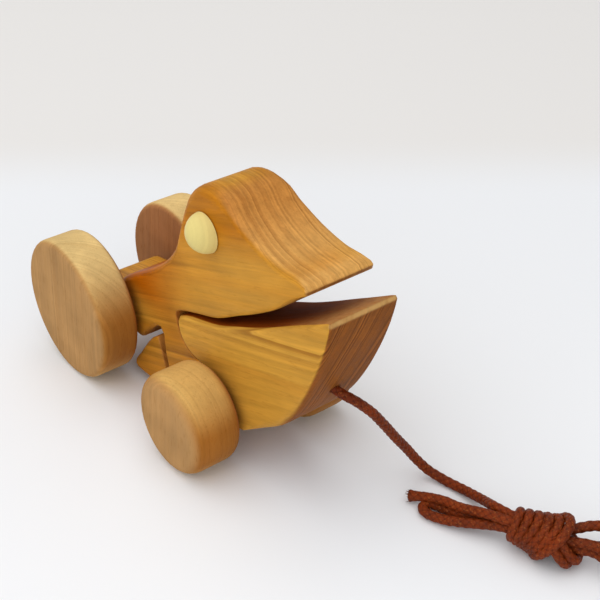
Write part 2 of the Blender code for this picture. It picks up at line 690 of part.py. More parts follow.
def main():
    """Build the whole frog."""
    for leftover in list(bpy.data.objects):
        bpy.data.objects.remove(leftover, do_unlink=True)
    collection = new_collection("pull_along_frog")
    tools = new_collection("cutters")
    jaw_tip = max(point[0] for point in jaw_outline())
    middle = (jaw_tip - REAR_WHEEL_DIAMETER / 2) / 2
    frog = new_empty("frog", (-middle, 0, 0), None, collection)
    hinge = new_empty("jaw_hinge", (HINGE_X, 0, HINGE_Z), frog, collection)
    rear = new_empty("rear_axle_line", (0, 0, REAR_AXLE_Z), frog, collection)
    front = new_empty("front_axle_line", (WHEELBASE, 0, FRONT_AXLE_Z), frog, collection)
    add_body(frog, collection, tools)
    add_jaw(hinge, collection, tools)
    wheel_set("rear", REAR_WHEEL_DIAMETER, REAR_WHEEL_WIDTH, REAR_WHEEL_ROUND, REAR_WHEEL_PLAY,
              REAR_AXLE_DIAMETER, REAR_AXLE_SEAT, rear, collection)
    wheel_set("front", FRONT_WHEEL_DIAMETER, FRONT_WHEEL_WIDTH, FRONT_WHEEL_ROUND, FRONT_WHEEL_PLAY,
              FRONT_AXLE_DIAMETER, FRONT_AXLE_SEAT, front, collection)
    add_cord(frog, hinge, collection)
    for thing in collection.objects:
        smooth_shading(thing)
    bpy.context.view_layer.update()


main()
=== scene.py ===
"""Looks of the wooden pull-along frog: waxed cord, knot, sawn boards, turned wheels, eyes and the stage.

Metres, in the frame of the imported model: the floor is z = 0 and the frog looks towards +X.
Points of the cord are in millimetres ahead of the rear axle, as they are in the part's source.
"""
import json
from math import cos, pi, radians, sin
from random import Random

import bmesh
import bpy
from bpy.props import FloatProperty, FloatVectorProperty, IntProperty, PointerProperty
from mathutils import Matrix, Vector

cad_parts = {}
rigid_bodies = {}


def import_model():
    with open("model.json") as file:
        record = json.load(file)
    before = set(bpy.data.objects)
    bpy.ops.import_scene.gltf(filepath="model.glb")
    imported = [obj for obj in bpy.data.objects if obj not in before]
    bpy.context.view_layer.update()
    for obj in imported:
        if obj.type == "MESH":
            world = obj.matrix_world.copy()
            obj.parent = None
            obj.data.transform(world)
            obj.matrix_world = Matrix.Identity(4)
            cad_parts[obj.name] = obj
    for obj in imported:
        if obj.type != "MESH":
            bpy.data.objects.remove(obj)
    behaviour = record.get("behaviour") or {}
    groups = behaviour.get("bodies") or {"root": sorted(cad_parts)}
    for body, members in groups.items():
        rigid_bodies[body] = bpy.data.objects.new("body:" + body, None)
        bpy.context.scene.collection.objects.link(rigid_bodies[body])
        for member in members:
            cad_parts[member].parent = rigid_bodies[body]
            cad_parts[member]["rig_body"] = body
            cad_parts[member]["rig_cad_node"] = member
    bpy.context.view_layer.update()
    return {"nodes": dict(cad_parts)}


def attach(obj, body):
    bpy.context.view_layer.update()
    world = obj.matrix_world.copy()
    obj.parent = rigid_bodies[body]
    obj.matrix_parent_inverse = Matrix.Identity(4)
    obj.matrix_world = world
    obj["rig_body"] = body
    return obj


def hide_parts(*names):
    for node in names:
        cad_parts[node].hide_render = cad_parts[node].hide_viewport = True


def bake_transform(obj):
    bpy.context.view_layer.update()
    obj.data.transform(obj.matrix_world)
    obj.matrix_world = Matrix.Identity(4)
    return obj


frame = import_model()

bl_info = {
    "name": "Wooden Pull-Along Frog",
    "version": (1, 0, 0),
    "blender": (4, 5, 0),
    "location": "3D View > Sidebar > Frog",
    "description": "Dresses the packed frog with oiled wood, a waxed braided cord and a studio stage",
    "category": "Object",
}

MM = 0.001

# Where the cord's millimetres start, seen from the model's own origin
REAR_AXLE_X = -47.95

# Cord from the jaw to the hank
CORD_RADIUS = 1.5
HOLE_MOUTH = (108.9, 0.0, 42.0)
HOLE_PITCH = radians(-30.5)
HOLE_REACH = 13.7
CORD_ROUTE = [(114.7, 3.3, 39.2), (116.3, 7.4, 34.7), (116.8, 12.5, 27.6), (116.9, 17.5, 20.2),
              (116.9, 22.5, 13.2), (117.6, 26.6, 7.0), (119.9, 29.2, 3.3), (124.4, 30.9, 1.9),
              (133.8, 32.5, 2.2), (141.6, 31.4, 4.7)]

# Hank of folded cord on the floor
HANK_MIDDLE = (166.9, 33.55)
HANK_HEADING = radians(28)
HANK_BEND_RADIUS = 110.0
LEFT_REACH = 39.7
LEFT_FAR = -1.0
LEFT_FOLD = 4.4
CUT_END_REACH = 45.0
CUT_END_RUN = [(11.0, -0.3, 4.8), (5.5, -1.5, 3.9), (0.0, -3.4, 2.3)]
LOW_REACH = 46.0
TOP_REACH = 44.0
LEAD = Vector((-7.5, 1.4, -0.3))
UPPER_DELAY = 5.0
LEAVE_ASIDE = 3.4
LEAVE_UP = 2.4
FOLD_RADIUS = 9.0
HALF_STRAND_STEP = 1.2
TWIST_SPREAD = 1.45
TRADE_REACH = 0.7
FLOOR_LAYER = 1.8
SECOND_LAYER = 5.35
RUN_STEPS = 5
FOLD_STEPS = 7

# Knot round the waist of the hank: wraps that fan out, then loops that hang the other way beneath them
KNOT_Z = 7.71
HALF_WAIST = 10.97
KNOT_CORD_RADIUS = 1.42
FAN_WRAPS = 6.2
WRAP_POINTS = 18
FAN_START = -11.6
FAN_PITCH = 2.1
FAN_LEAN = 0.86
FAN_LEAN_GROWTH = 0.79
FAN_RADIUS = 3.9
FAN_RADIUS_GROWTH = 0.33
FAN_LIFT = 0.9
FAN_LIFT_FROM = 4.0
FAN_LIFT_OVER = 1.4
LOOP_RADIUS = 3.8

# Where each loop starts on top and ends below, along the hank, and how far out it hangs
LOOPS = [(-3.5, 5.0, 6.6), (-0.2, 7.2, 5.0)]

# A loop's way round: degrees past the top, share of the way along, share of the way out
LOOP_TURN = [(-80, 0.0, 0.35), (-40, 0.0, 0.1), (0, 0.0, 0.0), (30, 0.1, 0.15), (60, 0.3, 0.5),
             (95, 0.65, 0.9), (130, 0.92, 1.0), (165, 1.0, 0.9), (205, 0.97, 0.7), (245, 0.6, 0.4)]

# How far from the tips of the snout and the jaw their edges take the edge colour, and how much: painted
# shade on the snout's lower edge, wear and a painted highlight on the jaw's lip; the jaw's top also pales
# towards its tip
EDGE_MARK_FROM = 0.0012
EDGE_MARK_TO = 0.0002
EDGE_MARK = 0.8
MOUTH_TIP_FROM = 0.031
MOUTH_TIP_PALING = 0.42
END_CHANGE_FROM = 0.040
END_CHANGE_TO = 0.010
SNOUT_EDGE_SHIFT = Vector((0.0, 0.0, -0.0007))
JAW_EDGE_SHIFT = Vector((-0.0003, 0.0, 0.0005))

# Where painted shade and warm bounce light from the rear wheels deepen the body towards the neck, along
# it and up it
SHADE_ALONG = (0.0114, -0.0246)
SHADE_ABOVE = (0.028, 0.042)
SHADE_BELOW = (0.078, 0.062)

# How squarely a face has to look along its axis, and how far in it has to look, to have its own colour;
# an inner face's own colour is painted shade
FACE_RANGE = (0.86, 0.96)
WHEEL_FACE_RANGE = (0.40, 1.0)
INNER_FACE_RANGE = (-0.002, -0.008)

# How the wood's patterns are drawn out along the grain
LONG_STRETCH = (0.16, 1.0, 1.0)
PORE_STRETCH = (0.10, 1.0, 1.0)
FIBRE_STRETCH = (0.045, 1.0, 1.0)

# Waves of each pattern in the wood to the metre
WANDER_WAVES = 20.0
TONE_WAVES = 34.0
BLOTCH_WAVES = 55.0
FADE_WAVES = 90.0
STREAK_WAVES = 120.0
WEATHER_WAVES = 260.0
WEAR_WAVES = 400.0
BROAD_FIBRE_WAVES = 420.0
FINE_RING_WAVES = 900.0
FIBRE_WAVES = 1500.0
PORE_WAVES = 2300.0

# How far the fibres and the good and bad years push a ring outwards
FIBRE_PUSH = 0.0005
WEATHER_PUSH = 0.0035

# Relief and shine of the surfaces
BUMP_DISTANCE = 0.0003
WOOD_BUMP = 0.22
WOOD_SHINE = 0.06
CORD_BUMP = 0.45
CORD_SHINE = 0.12
PAPER_ROUGHNESS = 0.75
PAPER_SHINE = 0.15

# Braid of the cord: how round a strand is, how it arches over the next, its yarns, and its usual height
STRAND_ROUNDNESS = 0.6
STRAND_ARCH = 0.75
STRAND_YARNS = 4
USUAL_HEIGHT = 0.62

# How much the waxed thread varies, and waves of its blotches and of its dust to the metre
THREAD_DARK = 0.78
THREAD_BRIGHT = 1.22
THREAD_BLOTCH_WAVES = 160.0
DUST_WAVES = 1700.0

# Fineness of the cord's mesh, and its ends
CORD_SIDES = 24
RING_STEP = 0.36
END_RINGS = (0.7, 0.35)
END_DOME = 0.3
CUT_HOLLOW = -0.25

# Frayed cut end of the cord
FRAY_LENGTH = 3.2
FRAY_FLARE = 0.24
FRAY_FIBRES = 46
FRAY_SEED = 11
FIBRE_ROOT = 0.0006
FIBRE_LEAN = 0.55
FIBRE_SHORTEST = 0.0009
FIBRE_EXTRA = 0.0011
FIBRE_RADIUS = 0.00013
FIBRE_CORNERS = (0, 2.094, 4.189)

# How a copy of a solid is merged and shaded
MERGE_DISTANCE = 0.000002
FLAT_ANGLE = radians(0.1)
SHARP_ANGLE = radians(42)
FLAT_FACE_WEIGHT = 100

# Stage
SENSOR_WIDTH = 36.0
NEAREST_SEEN = 0.01
LIGHT_TARGET = Vector((0.02, 0.0, 0.04))
KEY_PLACE = (-0.25, -0.55, 2.1)
KEY_SIZE = 3.2
KEY_COLOUR = (1.0, 0.99, 0.975)
FRONT_PLACE = (0.95, -0.75, 0.75)
FRONT_SIZE = 1.2
FRONT_COLOUR = (1.0, 0.995, 0.985)
ROOM_COLOUR = (0.985, 0.99, 1.0, 1.0)
FLOOR_SIZE = 6.0
FLOOR_CUTS = 8
# The floor greys far off as painted shade and lightens near the camera as painted light
FAR_FADE_BEFORE = 0.055
FAR_FADE_AFTER = 0.01
CLOUD_WAVES = 3.0
NEAR_FLOOR_RANGE = (0.40, 0.22)
NEAR_FLOOR_PAINTED_LIGHT = 1.05


class FrogWoodLooks(bpy.types.PropertyGroup):
    """Colours and growth of the woods."""

    honey_light: FloatVectorProperty(
        name="Honey light", description="Early wood of the oiled boards", subtype="COLOR",
        default=(0.575, 0.282, 0.036), min=0, max=1)
    honey_deep: FloatVectorProperty(
        name="Honey deep", description="Darker patches of the oiled boards", subtype="COLOR",
        default=(0.48, 0.170, 0.008), min=0, max=1)
    honey_line: FloatVectorProperty(
        name="Honey line", description="Tint of the late-wood lines of the oiled boards", subtype="COLOR",
        default=(0.50, 0.34, 0.18), min=0, max=1)
    honey_end: FloatVectorProperty(
        name="Honey end grain", description="End grain of the oiled boards, which drinks more oil",
        subtype="COLOR", default=(0.50, 0.208, 0.045), min=0, max=1)
    # Colour of the painted shade and warm bounce light from the rear wheels on the neck
    painted_neck_shade: FloatVectorProperty(
        name="Neck tint", description="Tint of the oiled neck, deeper than the head", subtype="COLOR",
        default=(0.71, 0.36, 0.03), min=0, max=1)
    # Paler end grain near the tip of the snout
    snout_end: FloatVectorProperty(
        name="Snout end grain", description="End grain near the tip of the snout, rubbed paler",
        subtype="COLOR", default=(0.63, 0.335, 0.094), min=0, max=1)
    jaw_light: FloatVectorProperty(
        name="Jaw light", description="Early wood of the jaw, yellower than the body's", subtype="COLOR",
        default=(0.635, 0.328, 0.046), min=0, max=1)
    # Partly end grain and partly painted shade on the jaw's front, which faces away from the light
    jaw_end_grain_and_shade: FloatVectorProperty(
        name="Jaw end grain", description="End grain at the front of the jaw", subtype="COLOR",
        default=(0.205, 0.054, 0.010), min=0, max=1)
    # Painted shade on the jaw's top inside the mouth, under the snout
    mouth_painted_shade: FloatVectorProperty(
        name="Mouth", description="Sawn top of the jaw, inside the mouth", subtype="COLOR",
        default=(0.23, 0.046, 0.001), min=0, max=1)
    pale_light: FloatVectorProperty(
        name="Wheel light", description="Early wood of the wheels", subtype="COLOR",
        default=(0.46, 0.205, 0.043), min=0, max=1)
    pale_deep: FloatVectorProperty(
        name="Wheel deep", description="Darker patches of the wheels", subtype="COLOR",
        default=(0.39, 0.160, 0.030), min=0, max=1)
    pale_line: FloatVectorProperty(
        name="Wheel line", description="Tint of the late-wood lines of the wheels", subtype="COLOR",
        default=(0.7, 0.58, 0.44), min=0, max=1)
    # End grain at the tops and bottoms of the rims, made paler as a painted highlight of the light from
    # above
    pale_end_and_highlight: FloatVectorProperty(
        name="Wheel end grain", description="End grain of the wheels", subtype="COLOR",
        default=(0.7, 0.5, 0.21), min=0, max=1)
    front_tint: FloatVectorProperty(
        name="Front wheel tint", description="Tint of the front wheels, oiled deeper than the rear ones",
        subtype="COLOR", default=(0.875, 0.765, 0.58), min=0, max=1)
    pale_face: FloatVectorProperty(
        name="Wheel face", description="Flat outer faces of the wheels, sanded drier than the rims",
        subtype="COLOR", default=(0.455, 0.252, 0.096), min=0, max=1)
    # Painted shade on the wheels' inner faces, towards the body
    wheel_inner_shade: FloatVectorProperty(
        name="Wheel inner face", description="Flat inner faces of the wheels", subtype="COLOR",
        default=(0.385, 0.168, 0.063), min=0, max=1)
    # Painted shade along the snout's lower front edge
    snout_edge_shade: FloatVectorProperty(
        name="Snout edge", description="Oil-stained front edge of the snout", subtype="COLOR",
        default=(0.20, 0.060, 0.012), min=0, max=1)
    # Paler from wear, and partly a painted highlight on the lit lip of the jaw
    jaw_edge_wear_and_highlight: FloatVectorProperty(
        name="Jaw edge", description="Rubbed front edge of the jaw", subtype="COLOR",
        default=(0.60, 0.355, 0.125), min=0, max=1)
    eye_light: FloatVectorProperty(
        name="Eye", description="Pale close-grained wood of the eyes", subtype="COLOR",
        default=(0.79, 0.65, 0.245), min=0, max=1)
    ring_spacing: FloatProperty(
        name="Ring spacing", description="Distance between the boards' growth rings", subtype="DISTANCE",
        default=0.0021, min=0.0005, max=0.02)


class FrogCordLooks(bpy.types.PropertyGroup):
    """Colour and braid of the cord."""

    thread: FloatVectorProperty(
        name="Thread", description="Colour of the waxed thread", subtype="COLOR",
        default=(0.168, 0.0245, 0.0031), min=0, max=1)
    # Painted shade down between the braid's strands
    crease_shade: FloatVectorProperty(
        name="Crease Shade", description="Colour down between the braid's strands", subtype="COLOR",
        default=(0.034, 0.005, 0.001), min=0, max=1)
    wax: FloatVectorProperty(
        name="Wax", description="Colour of the dusty wax on the strands", subtype="COLOR",
        default=(0.36, 0.105, 0.022), min=0, max=1)
    strands: IntProperty(
        name="Strands", description="Strands of the braid that run each way round",
        default=4, min=3, max=16)
    braid_pitch: FloatProperty(
        name="Braid pitch", description="Length of one crossing of the braid", subtype="DISTANCE",
        default=0.0025, min=0.0005, max=0.02)
    relief: FloatProperty(
        name="Relief", description="How far the strands stand out, as a share of the cord's radius",
        subtype="FACTOR", default=0.13, min=0, max=0.3)


class FrogStageLooks(bpy.types.PropertyGroup):
    """Camera, light and floor."""

    camera_place: FloatVectorProperty(
        name="Camera place", description="Where the camera stands", subtype="TRANSLATION",
        default=(0.27067, -0.17869, 0.24855))
    camera_heading: FloatProperty(
        name="Camera heading", description="Direction it looks in, from +X towards +Y", subtype="ANGLE",
        default=2.471446)
    camera_pitch: FloatProperty(
        name="Camera pitch", description="How far it looks up", subtype="ANGLE", default=-0.569799)
    camera_roll: FloatProperty(
        name="Camera roll", description="How far it leans", subtype="ANGLE", default=-0.004084)
    lens: FloatProperty(
        name="Lens", description="Focal length on a 36 mm sensor", subtype="DISTANCE_CAMERA",
        default=72.0, min=10)
    floor_white: FloatVectorProperty(
        name="Floor", description="Colour of the floor near the frog", subtype="COLOR",
        default=(0.826, 0.841, 0.866), min=0, max=1)
    # Painted shade far behind the frog, where a backdrop would turn up out of the light
    far_floor_shade: FloatVectorProperty(
        name="Far floor", description="Colour of the floor behind the frog", subtype="COLOR",
        default=(0.785, 0.77, 0.755), min=0, max=1)
    far_line: FloatProperty(
        name="Far line", description="How far ahead of the camera the floor turns grey",
        subtype="DISTANCE", default=0.526, min=0.1)
    key_power: FloatProperty(
        name="Key light", description="Power of the large soft light", subtype="POWER",
        default=43.0, min=0)
    fill_power: FloatProperty(
        name="Front light", description="Power of the soft light low in front", subtype="POWER",
        default=4.2, min=0)
    sky: FloatProperty(
        name="Room light", description="Strength of the light from all round", default=0.48, min=0)


class NodeSheet:
    """A node tree that is being wired, with short calls for the nodes that come up often."""

    def __init__(self, tree):
        self.tree = tree

    def add(self, kind, inputs=None, **settings):
        """Add a node, set its options, and fill or link its inputs."""
        node = self.tree.nodes.new(kind)
        for name, value in settings.items():
            setattr(node, name, value)
        for name, value in (inputs or {}).items():
            if isinstance(value, bpy.types.NodeSocket):
                self.tree.links.new(value, node.inputs[name])
            else:
                node.inputs[name].default_value = value
        return node

    def link(self, start, end):
        """Join two sockets."""
        self.tree.links.new(start, end)

    def maths(self, operation, first, second=0.0):
        """One sum of two values."""
        return self.add("ShaderNodeMath", {0: first, 1: second}, operation=operation).outputs[0]

    def vector(self, operation, first, second):
        """One sum of two vectors."""
        return self.vector_node(operation, first, second).outputs["Vector"]

    def measure(self, operation, first, second=(0.0, 0.0, 0.0)):
        """One value taken from vectors, such as a length or a distance."""
        return self.vector_node(operation, first, second).outputs["Value"]

    def vector_node(self, operation, first, second):
        """The node for one sum of two vectors."""
        return self.add("ShaderNodeVectorMath", {0: first, 1: second}, operation=operation)

    def parts(self, vector):
        """The three parts of a vector, by name."""
        return self.add("ShaderNodeSeparateXYZ", {0: vector}).outputs

    def remap(self, value, low, high, new_low=0.0, new_high=1.0):
        """A value moved smoothly from one range to another, and kept in it."""
        inputs = {"Value": value, "From Min": low, "From Max": high,
                  "To Min": new_low, "To Max": new_high}
        return self.add("ShaderNodeMapRange", inputs, interpolation_type="SMOOTHSTEP").outputs["Result"]

    def mix(self, share, first, second, blend="MIX"):
        """Two colours mixed by a share."""
        inputs = {0: share, 6: first, 7: second}
        return self.add("ShaderNodeMix", inputs, data_type="RGBA", blend_type=blend).outputs[2]

    def grey(self, value):
        """A grey of the given brightness."""
        return self.add("ShaderNodeCombineXYZ", {0: value, 1: value, 2: value}).outputs[0]

    def noise(self, place, scale, detail=2.0, roughness=0.5):
        """Soft three-dimensional noise."""
        inputs = {"Vector": place, "Scale": scale, "Detail": detail, "Roughness": roughness}
        return self.add("ShaderNodeTexNoise", inputs).outputs["Fac"]

    def noise_along(self, distance, scale, detail, roughness=0.5):
        """Soft noise along one line."""
        inputs = {"W": distance, "Scale": scale, "Detail": detail, "Roughness": roughness}
        return self.add("ShaderNodeTexNoise", inputs, noise_dimensions="1D").outputs["Fac"]


def new_group(name, inputs, outputs):
    """A shader node group with named sockets: its sheet, what comes in and what goes out."""
    tree = bpy.data.node_groups.new(name, "ShaderNodeTree")
    for label, kind in inputs:
        tree.interface.new_socket(name=label, in_out="INPUT", socket_type="NodeSocket" + kind)
    for label, kind in outputs:
        tree.interface.new_socket(name=label, in_out="OUTPUT", socket_type="NodeSocket" + kind)
    start = tree.nodes.new("NodeGroupInput")
    end = tree.nodes.new("NodeGroupOutput")
    return NodeSheet(tree), start.outputs, end.inputs


def oiled_wood_group():
    """Solid wood that grew along X round the X axis: rings, long fibres, pores and thirsty end grain,
    whose colour is partly painted shade on the jaw's front and a painted highlight on the wheels' rims.
    """
    made = bpy.data.node_groups.get("oiled wood")
    if made:
        return made
    sheet, come, go = new_group(
        "oiled wood",
        [("Place", "Vector"), ("Facing", "Vector"), ("Light", "Color"), ("Deep", "Color"),
         ("Line", "Color"), ("End", "Color"), ("Face", "Color"), ("Face Share", "Float"),
         ("Ring Spacing", "Float"), ("Wander", "Float"), ("Line Share", "Float"),
         ("Streak Share", "Float"), ("Pore Share", "Float"), ("Blotch Share", "Float"),
         ("End From", "Float"), ("End To", "Float"), ("End Lines", "Float"), ("Shade", "Float"),
         ("Tint", "Color"), ("Edge Mark", "Color"), ("Edge Mark Share", "Float"), ("Gloss", "Float")],
        [("Color", "Color"), ("Roughness", "Float"), ("Height", "Float")])
    long_place = sheet.vector("MULTIPLY", come["Place"], LONG_STRETCH)
    fibre_place = sheet.vector("MULTIPLY", come["Place"], FIBRE_STRETCH)
    pore_place = sheet.vector("MULTIPLY", come["Place"], PORE_STRETCH)
    broad_fibres = sheet.noise(fibre_place, BROAD_FIBRE_WAVES, 2.0, 0.55)
    fibres = sheet.noise(fibre_place, FIBRE_WAVES, 3.0, 0.6)

    # How far the tree had grown at each place
    section = sheet.vector("MULTIPLY", come["Place"], (0.0, 1.0, 1.0))
    grown = sheet.measure("LENGTH", section)
    wander = sheet.maths("SUBTRACT", sheet.noise(long_place, WANDER_WAVES, 2.0, 0.4), 0.5)
    grown = sheet.maths("ADD", grown, sheet.maths("MULTIPLY", wander, come["Wander"]))
    grown = sheet.maths("ADD", grown, sheet.maths("MULTIPLY", broad_fibres, FIBRE_PUSH))
    weather = sheet.noise_along(grown, WEATHER_WAVES, 1.0)
    grown = sheet.maths("ADD", grown, sheet.maths("MULTIPLY", weather, WEATHER_PUSH))
    fine_rings = sheet.noise_along(grown, FINE_RING_WAVES, 3.0, 0.6)

    # Lines of late wood, of a strength that differs from year to year and fades here and there
    years = sheet.maths("DIVIDE", grown, come["Ring Spacing"])
    season = sheet.maths("FRACT", years)
    late = sheet.maths("MULTIPLY", sheet.remap(season, 0.25, 0.88), sheet.remap(season, 1.0, 0.90))
    year = sheet.maths("FLOOR", years)
    strength = sheet.add("ShaderNodeTexWhiteNoise", {"W": year}, noise_dimensions="1D").outputs["Value"]
    strength = sheet.maths("MULTIPLY", strength, strength)
    strength = sheet.maths("ADD", sheet.maths("MULTIPLY", strength, 1.1), 0.25)
    faded = sheet.maths("MULTIPLY", sheet.noise(long_place, FADE_WAVES, 1.0), 0.9)
    faded = sheet.maths("ADD", faded, 0.5)
    late = sheet.maths("MULTIPLY", sheet.maths("MULTIPLY", late, strength), faded)
    line_share = sheet.maths("MULTIPLY", late, come["Line Share"])

    # Masks of the patches, streaks, pores and end grain
    tone = sheet.remap(sheet.noise(long_place, TONE_WAVES, 3.0, 0.55), 0.34, 0.66)
    dark_streaks = sheet.remap(sheet.noise(fibre_place, STREAK_WAVES, 3.0, 0.6), 0.58, 0.78)
    dark_streaks = sheet.maths("MULTIPLY", dark_streaks, come["Streak Share"])
    pores = sheet.remap(sheet.noise(pore_place, PORE_WAVES, 1.0), 0.60, 0.72)
    pores = sheet.maths("MULTIPLY", pores, come["Pore Share"])
    along = sheet.maths("ABSOLUTE", sheet.parts(come["Facing"])["X"])
    end_grain = sheet.remap(along, come["End From"], come["End To"])
    streak = sheet.remap(broad_fibres, 0.25, 0.75, 0.90, 1.09)
    streak = sheet.maths("MULTIPLY", streak, sheet.remap(fibres, 0.2, 0.8, 0.93, 1.07))
    streak = sheet.maths("MULTIPLY", streak, sheet.remap(fine_rings, 0.28, 0.72, 0.86, 1.12))
    blotch = sheet.remap(sheet.noise(come["Place"], BLOTCH_WAVES, 2.0, 0.5), 0.28, 0.72, 0.80, 1.20)
    end_lines = sheet.remap(fine_rings, 0.36, 0.64, 0.55, 1.45)
    end_lines_share = sheet.maths("MULTIPLY", end_grain, come["End Lines"])
    patchy = sheet.remap(sheet.noise(come["Place"], WEAR_WAVES, 2.0), 0.30, 0.60, 0.70, 1.0)

    # Colour
    colour = sheet.mix(tone, come["Light"], come["Deep"])
    colour = sheet.mix(sheet.maths("MULTIPLY", end_grain, 0.9), colour, come["End"])
    colour = sheet.mix(come["Face Share"], colour, come["Face"])
    colour = sheet.mix(line_share, colour, come["Line"], "MULTIPLY")
    # Painted shade and warm bounce light towards the neck
    colour = sheet.mix(come["Shade"], colour, come["Tint"], "MULTIPLY")
    colour = sheet.mix(sheet.maths("MULTIPLY", dark_streaks, 0.4), colour, come["Line"], "MULTIPLY")
    colour = sheet.mix(come["Streak Share"], colour, sheet.grey(streak), "MULTIPLY")
    colour = sheet.mix(come["Blotch Share"], colour, sheet.grey(blotch), "MULTIPLY")
    colour = sheet.mix(end_lines_share, colour, sheet.grey(end_lines), "MULTIPLY")
    colour = sheet.mix(sheet.maths("MULTIPLY", pores, 0.6), colour, come["Line"], "MULTIPLY")
    # Edge colour: painted shade on the snout's edge, wear and a painted highlight on the jaw's lip
    colour = sheet.mix(sheet.maths("MULTIPLY", come["Edge Mark Share"], patchy), colour, come["Edge Mark"])

    # Roughness and relief
    rough = sheet.remap(broad_fibres, 0.2, 0.8, -0.05, 0.07)
    rough = sheet.maths("ADD", rough, sheet.maths("MULTIPLY", end_grain, 0.10))
    rough = sheet.maths("ADD", rough, sheet.maths("MULTIPLY", pores, 0.15))
    rough = sheet.maths("ADD", rough, sheet.maths("MULTIPLY", come["Face Share"], 0.25))
    height = sheet.maths("SUBTRACT", sheet.maths("MULTIPLY", fibres, 0.5), pores)
    height = sheet.maths("SUBTRACT", height, sheet.maths("MULTIPLY", late, 0.06))
    sheet.link(colour, go["Color"])
    sheet.link(sheet.maths("ADD", rough, come["Gloss"]), go["Roughness"])
    sheet.link(height, go["Height"])
    return sheet.tree


def braid_group():
    """The over and under of a round braid. The map's U goes once round it and its V counts crossings."""
    made = bpy.data.node_groups.get("round braid")
    if made:
        return made
    sheet, come, go = new_group(
        "round braid", [("Map", "Vector"), ("Strands", "Float")],
        [("Height", "Float"), ("Crease Shade", "Float"), ("Yarn", "Float")])
    spot = sheet.parts(come["Map"])
    around = sheet.maths("MULTIPLY", spot["X"], come["Strands"])
    rising = sheet.maths("ADD", around, spot["Y"])
    falling = sheet.maths("SUBTRACT", around, spot["Y"])
    cells = sheet.maths("ADD", sheet.maths("FLOOR", rising), sheet.maths("FLOOR", falling))
    under = sheet.maths("FLOORED_MODULO", cells, 2.0)
    over = sheet.maths("SUBTRACT", 1.0, under)
    across_rising = sheet.maths("SUBTRACT", sheet.maths("FRACT", rising), 0.5)
    across_falling = sheet.maths("SUBTRACT", sheet.maths("FRACT", falling), 0.5)
    across = sheet.maths("ADD", sheet.maths("MULTIPLY", across_rising, over),
                         sheet.maths("MULTIPLY", across_falling, under))
    along = sheet.maths("ADD", sheet.maths("MULTIPLY", across_rising, under),
                        sheet.maths("MULTIPLY", across_falling, over))
    ridge = sheet.maths("COSINE", sheet.maths("MULTIPLY", across, pi))
    arch = sheet.maths("COSINE", sheet.maths("MULTIPLY", along, STRAND_ARCH * pi))
    height = sheet.maths("MULTIPLY", sheet.maths("POWER", ridge, STRAND_ROUNDNESS), arch)
    yarn = sheet.maths("COSINE", sheet.maths("MULTIPLY", across, 2 * pi * STRAND_YARNS))
    sheet.link(height, go["Height"])
    sheet.link(sheet.remap(height, 0.55, 0.0), go["Crease Shade"])
    sheet.link(yarn, go["Yarn"])
    return sheet.tree


def new_material(name):
    """An empty material: its sheet and its shader."""
    material = bpy.data.materials.new(name)
    material.use_nodes = True
    return material, NodeSheet(material.node_tree), material.node_tree.nodes["Principled BSDF"]


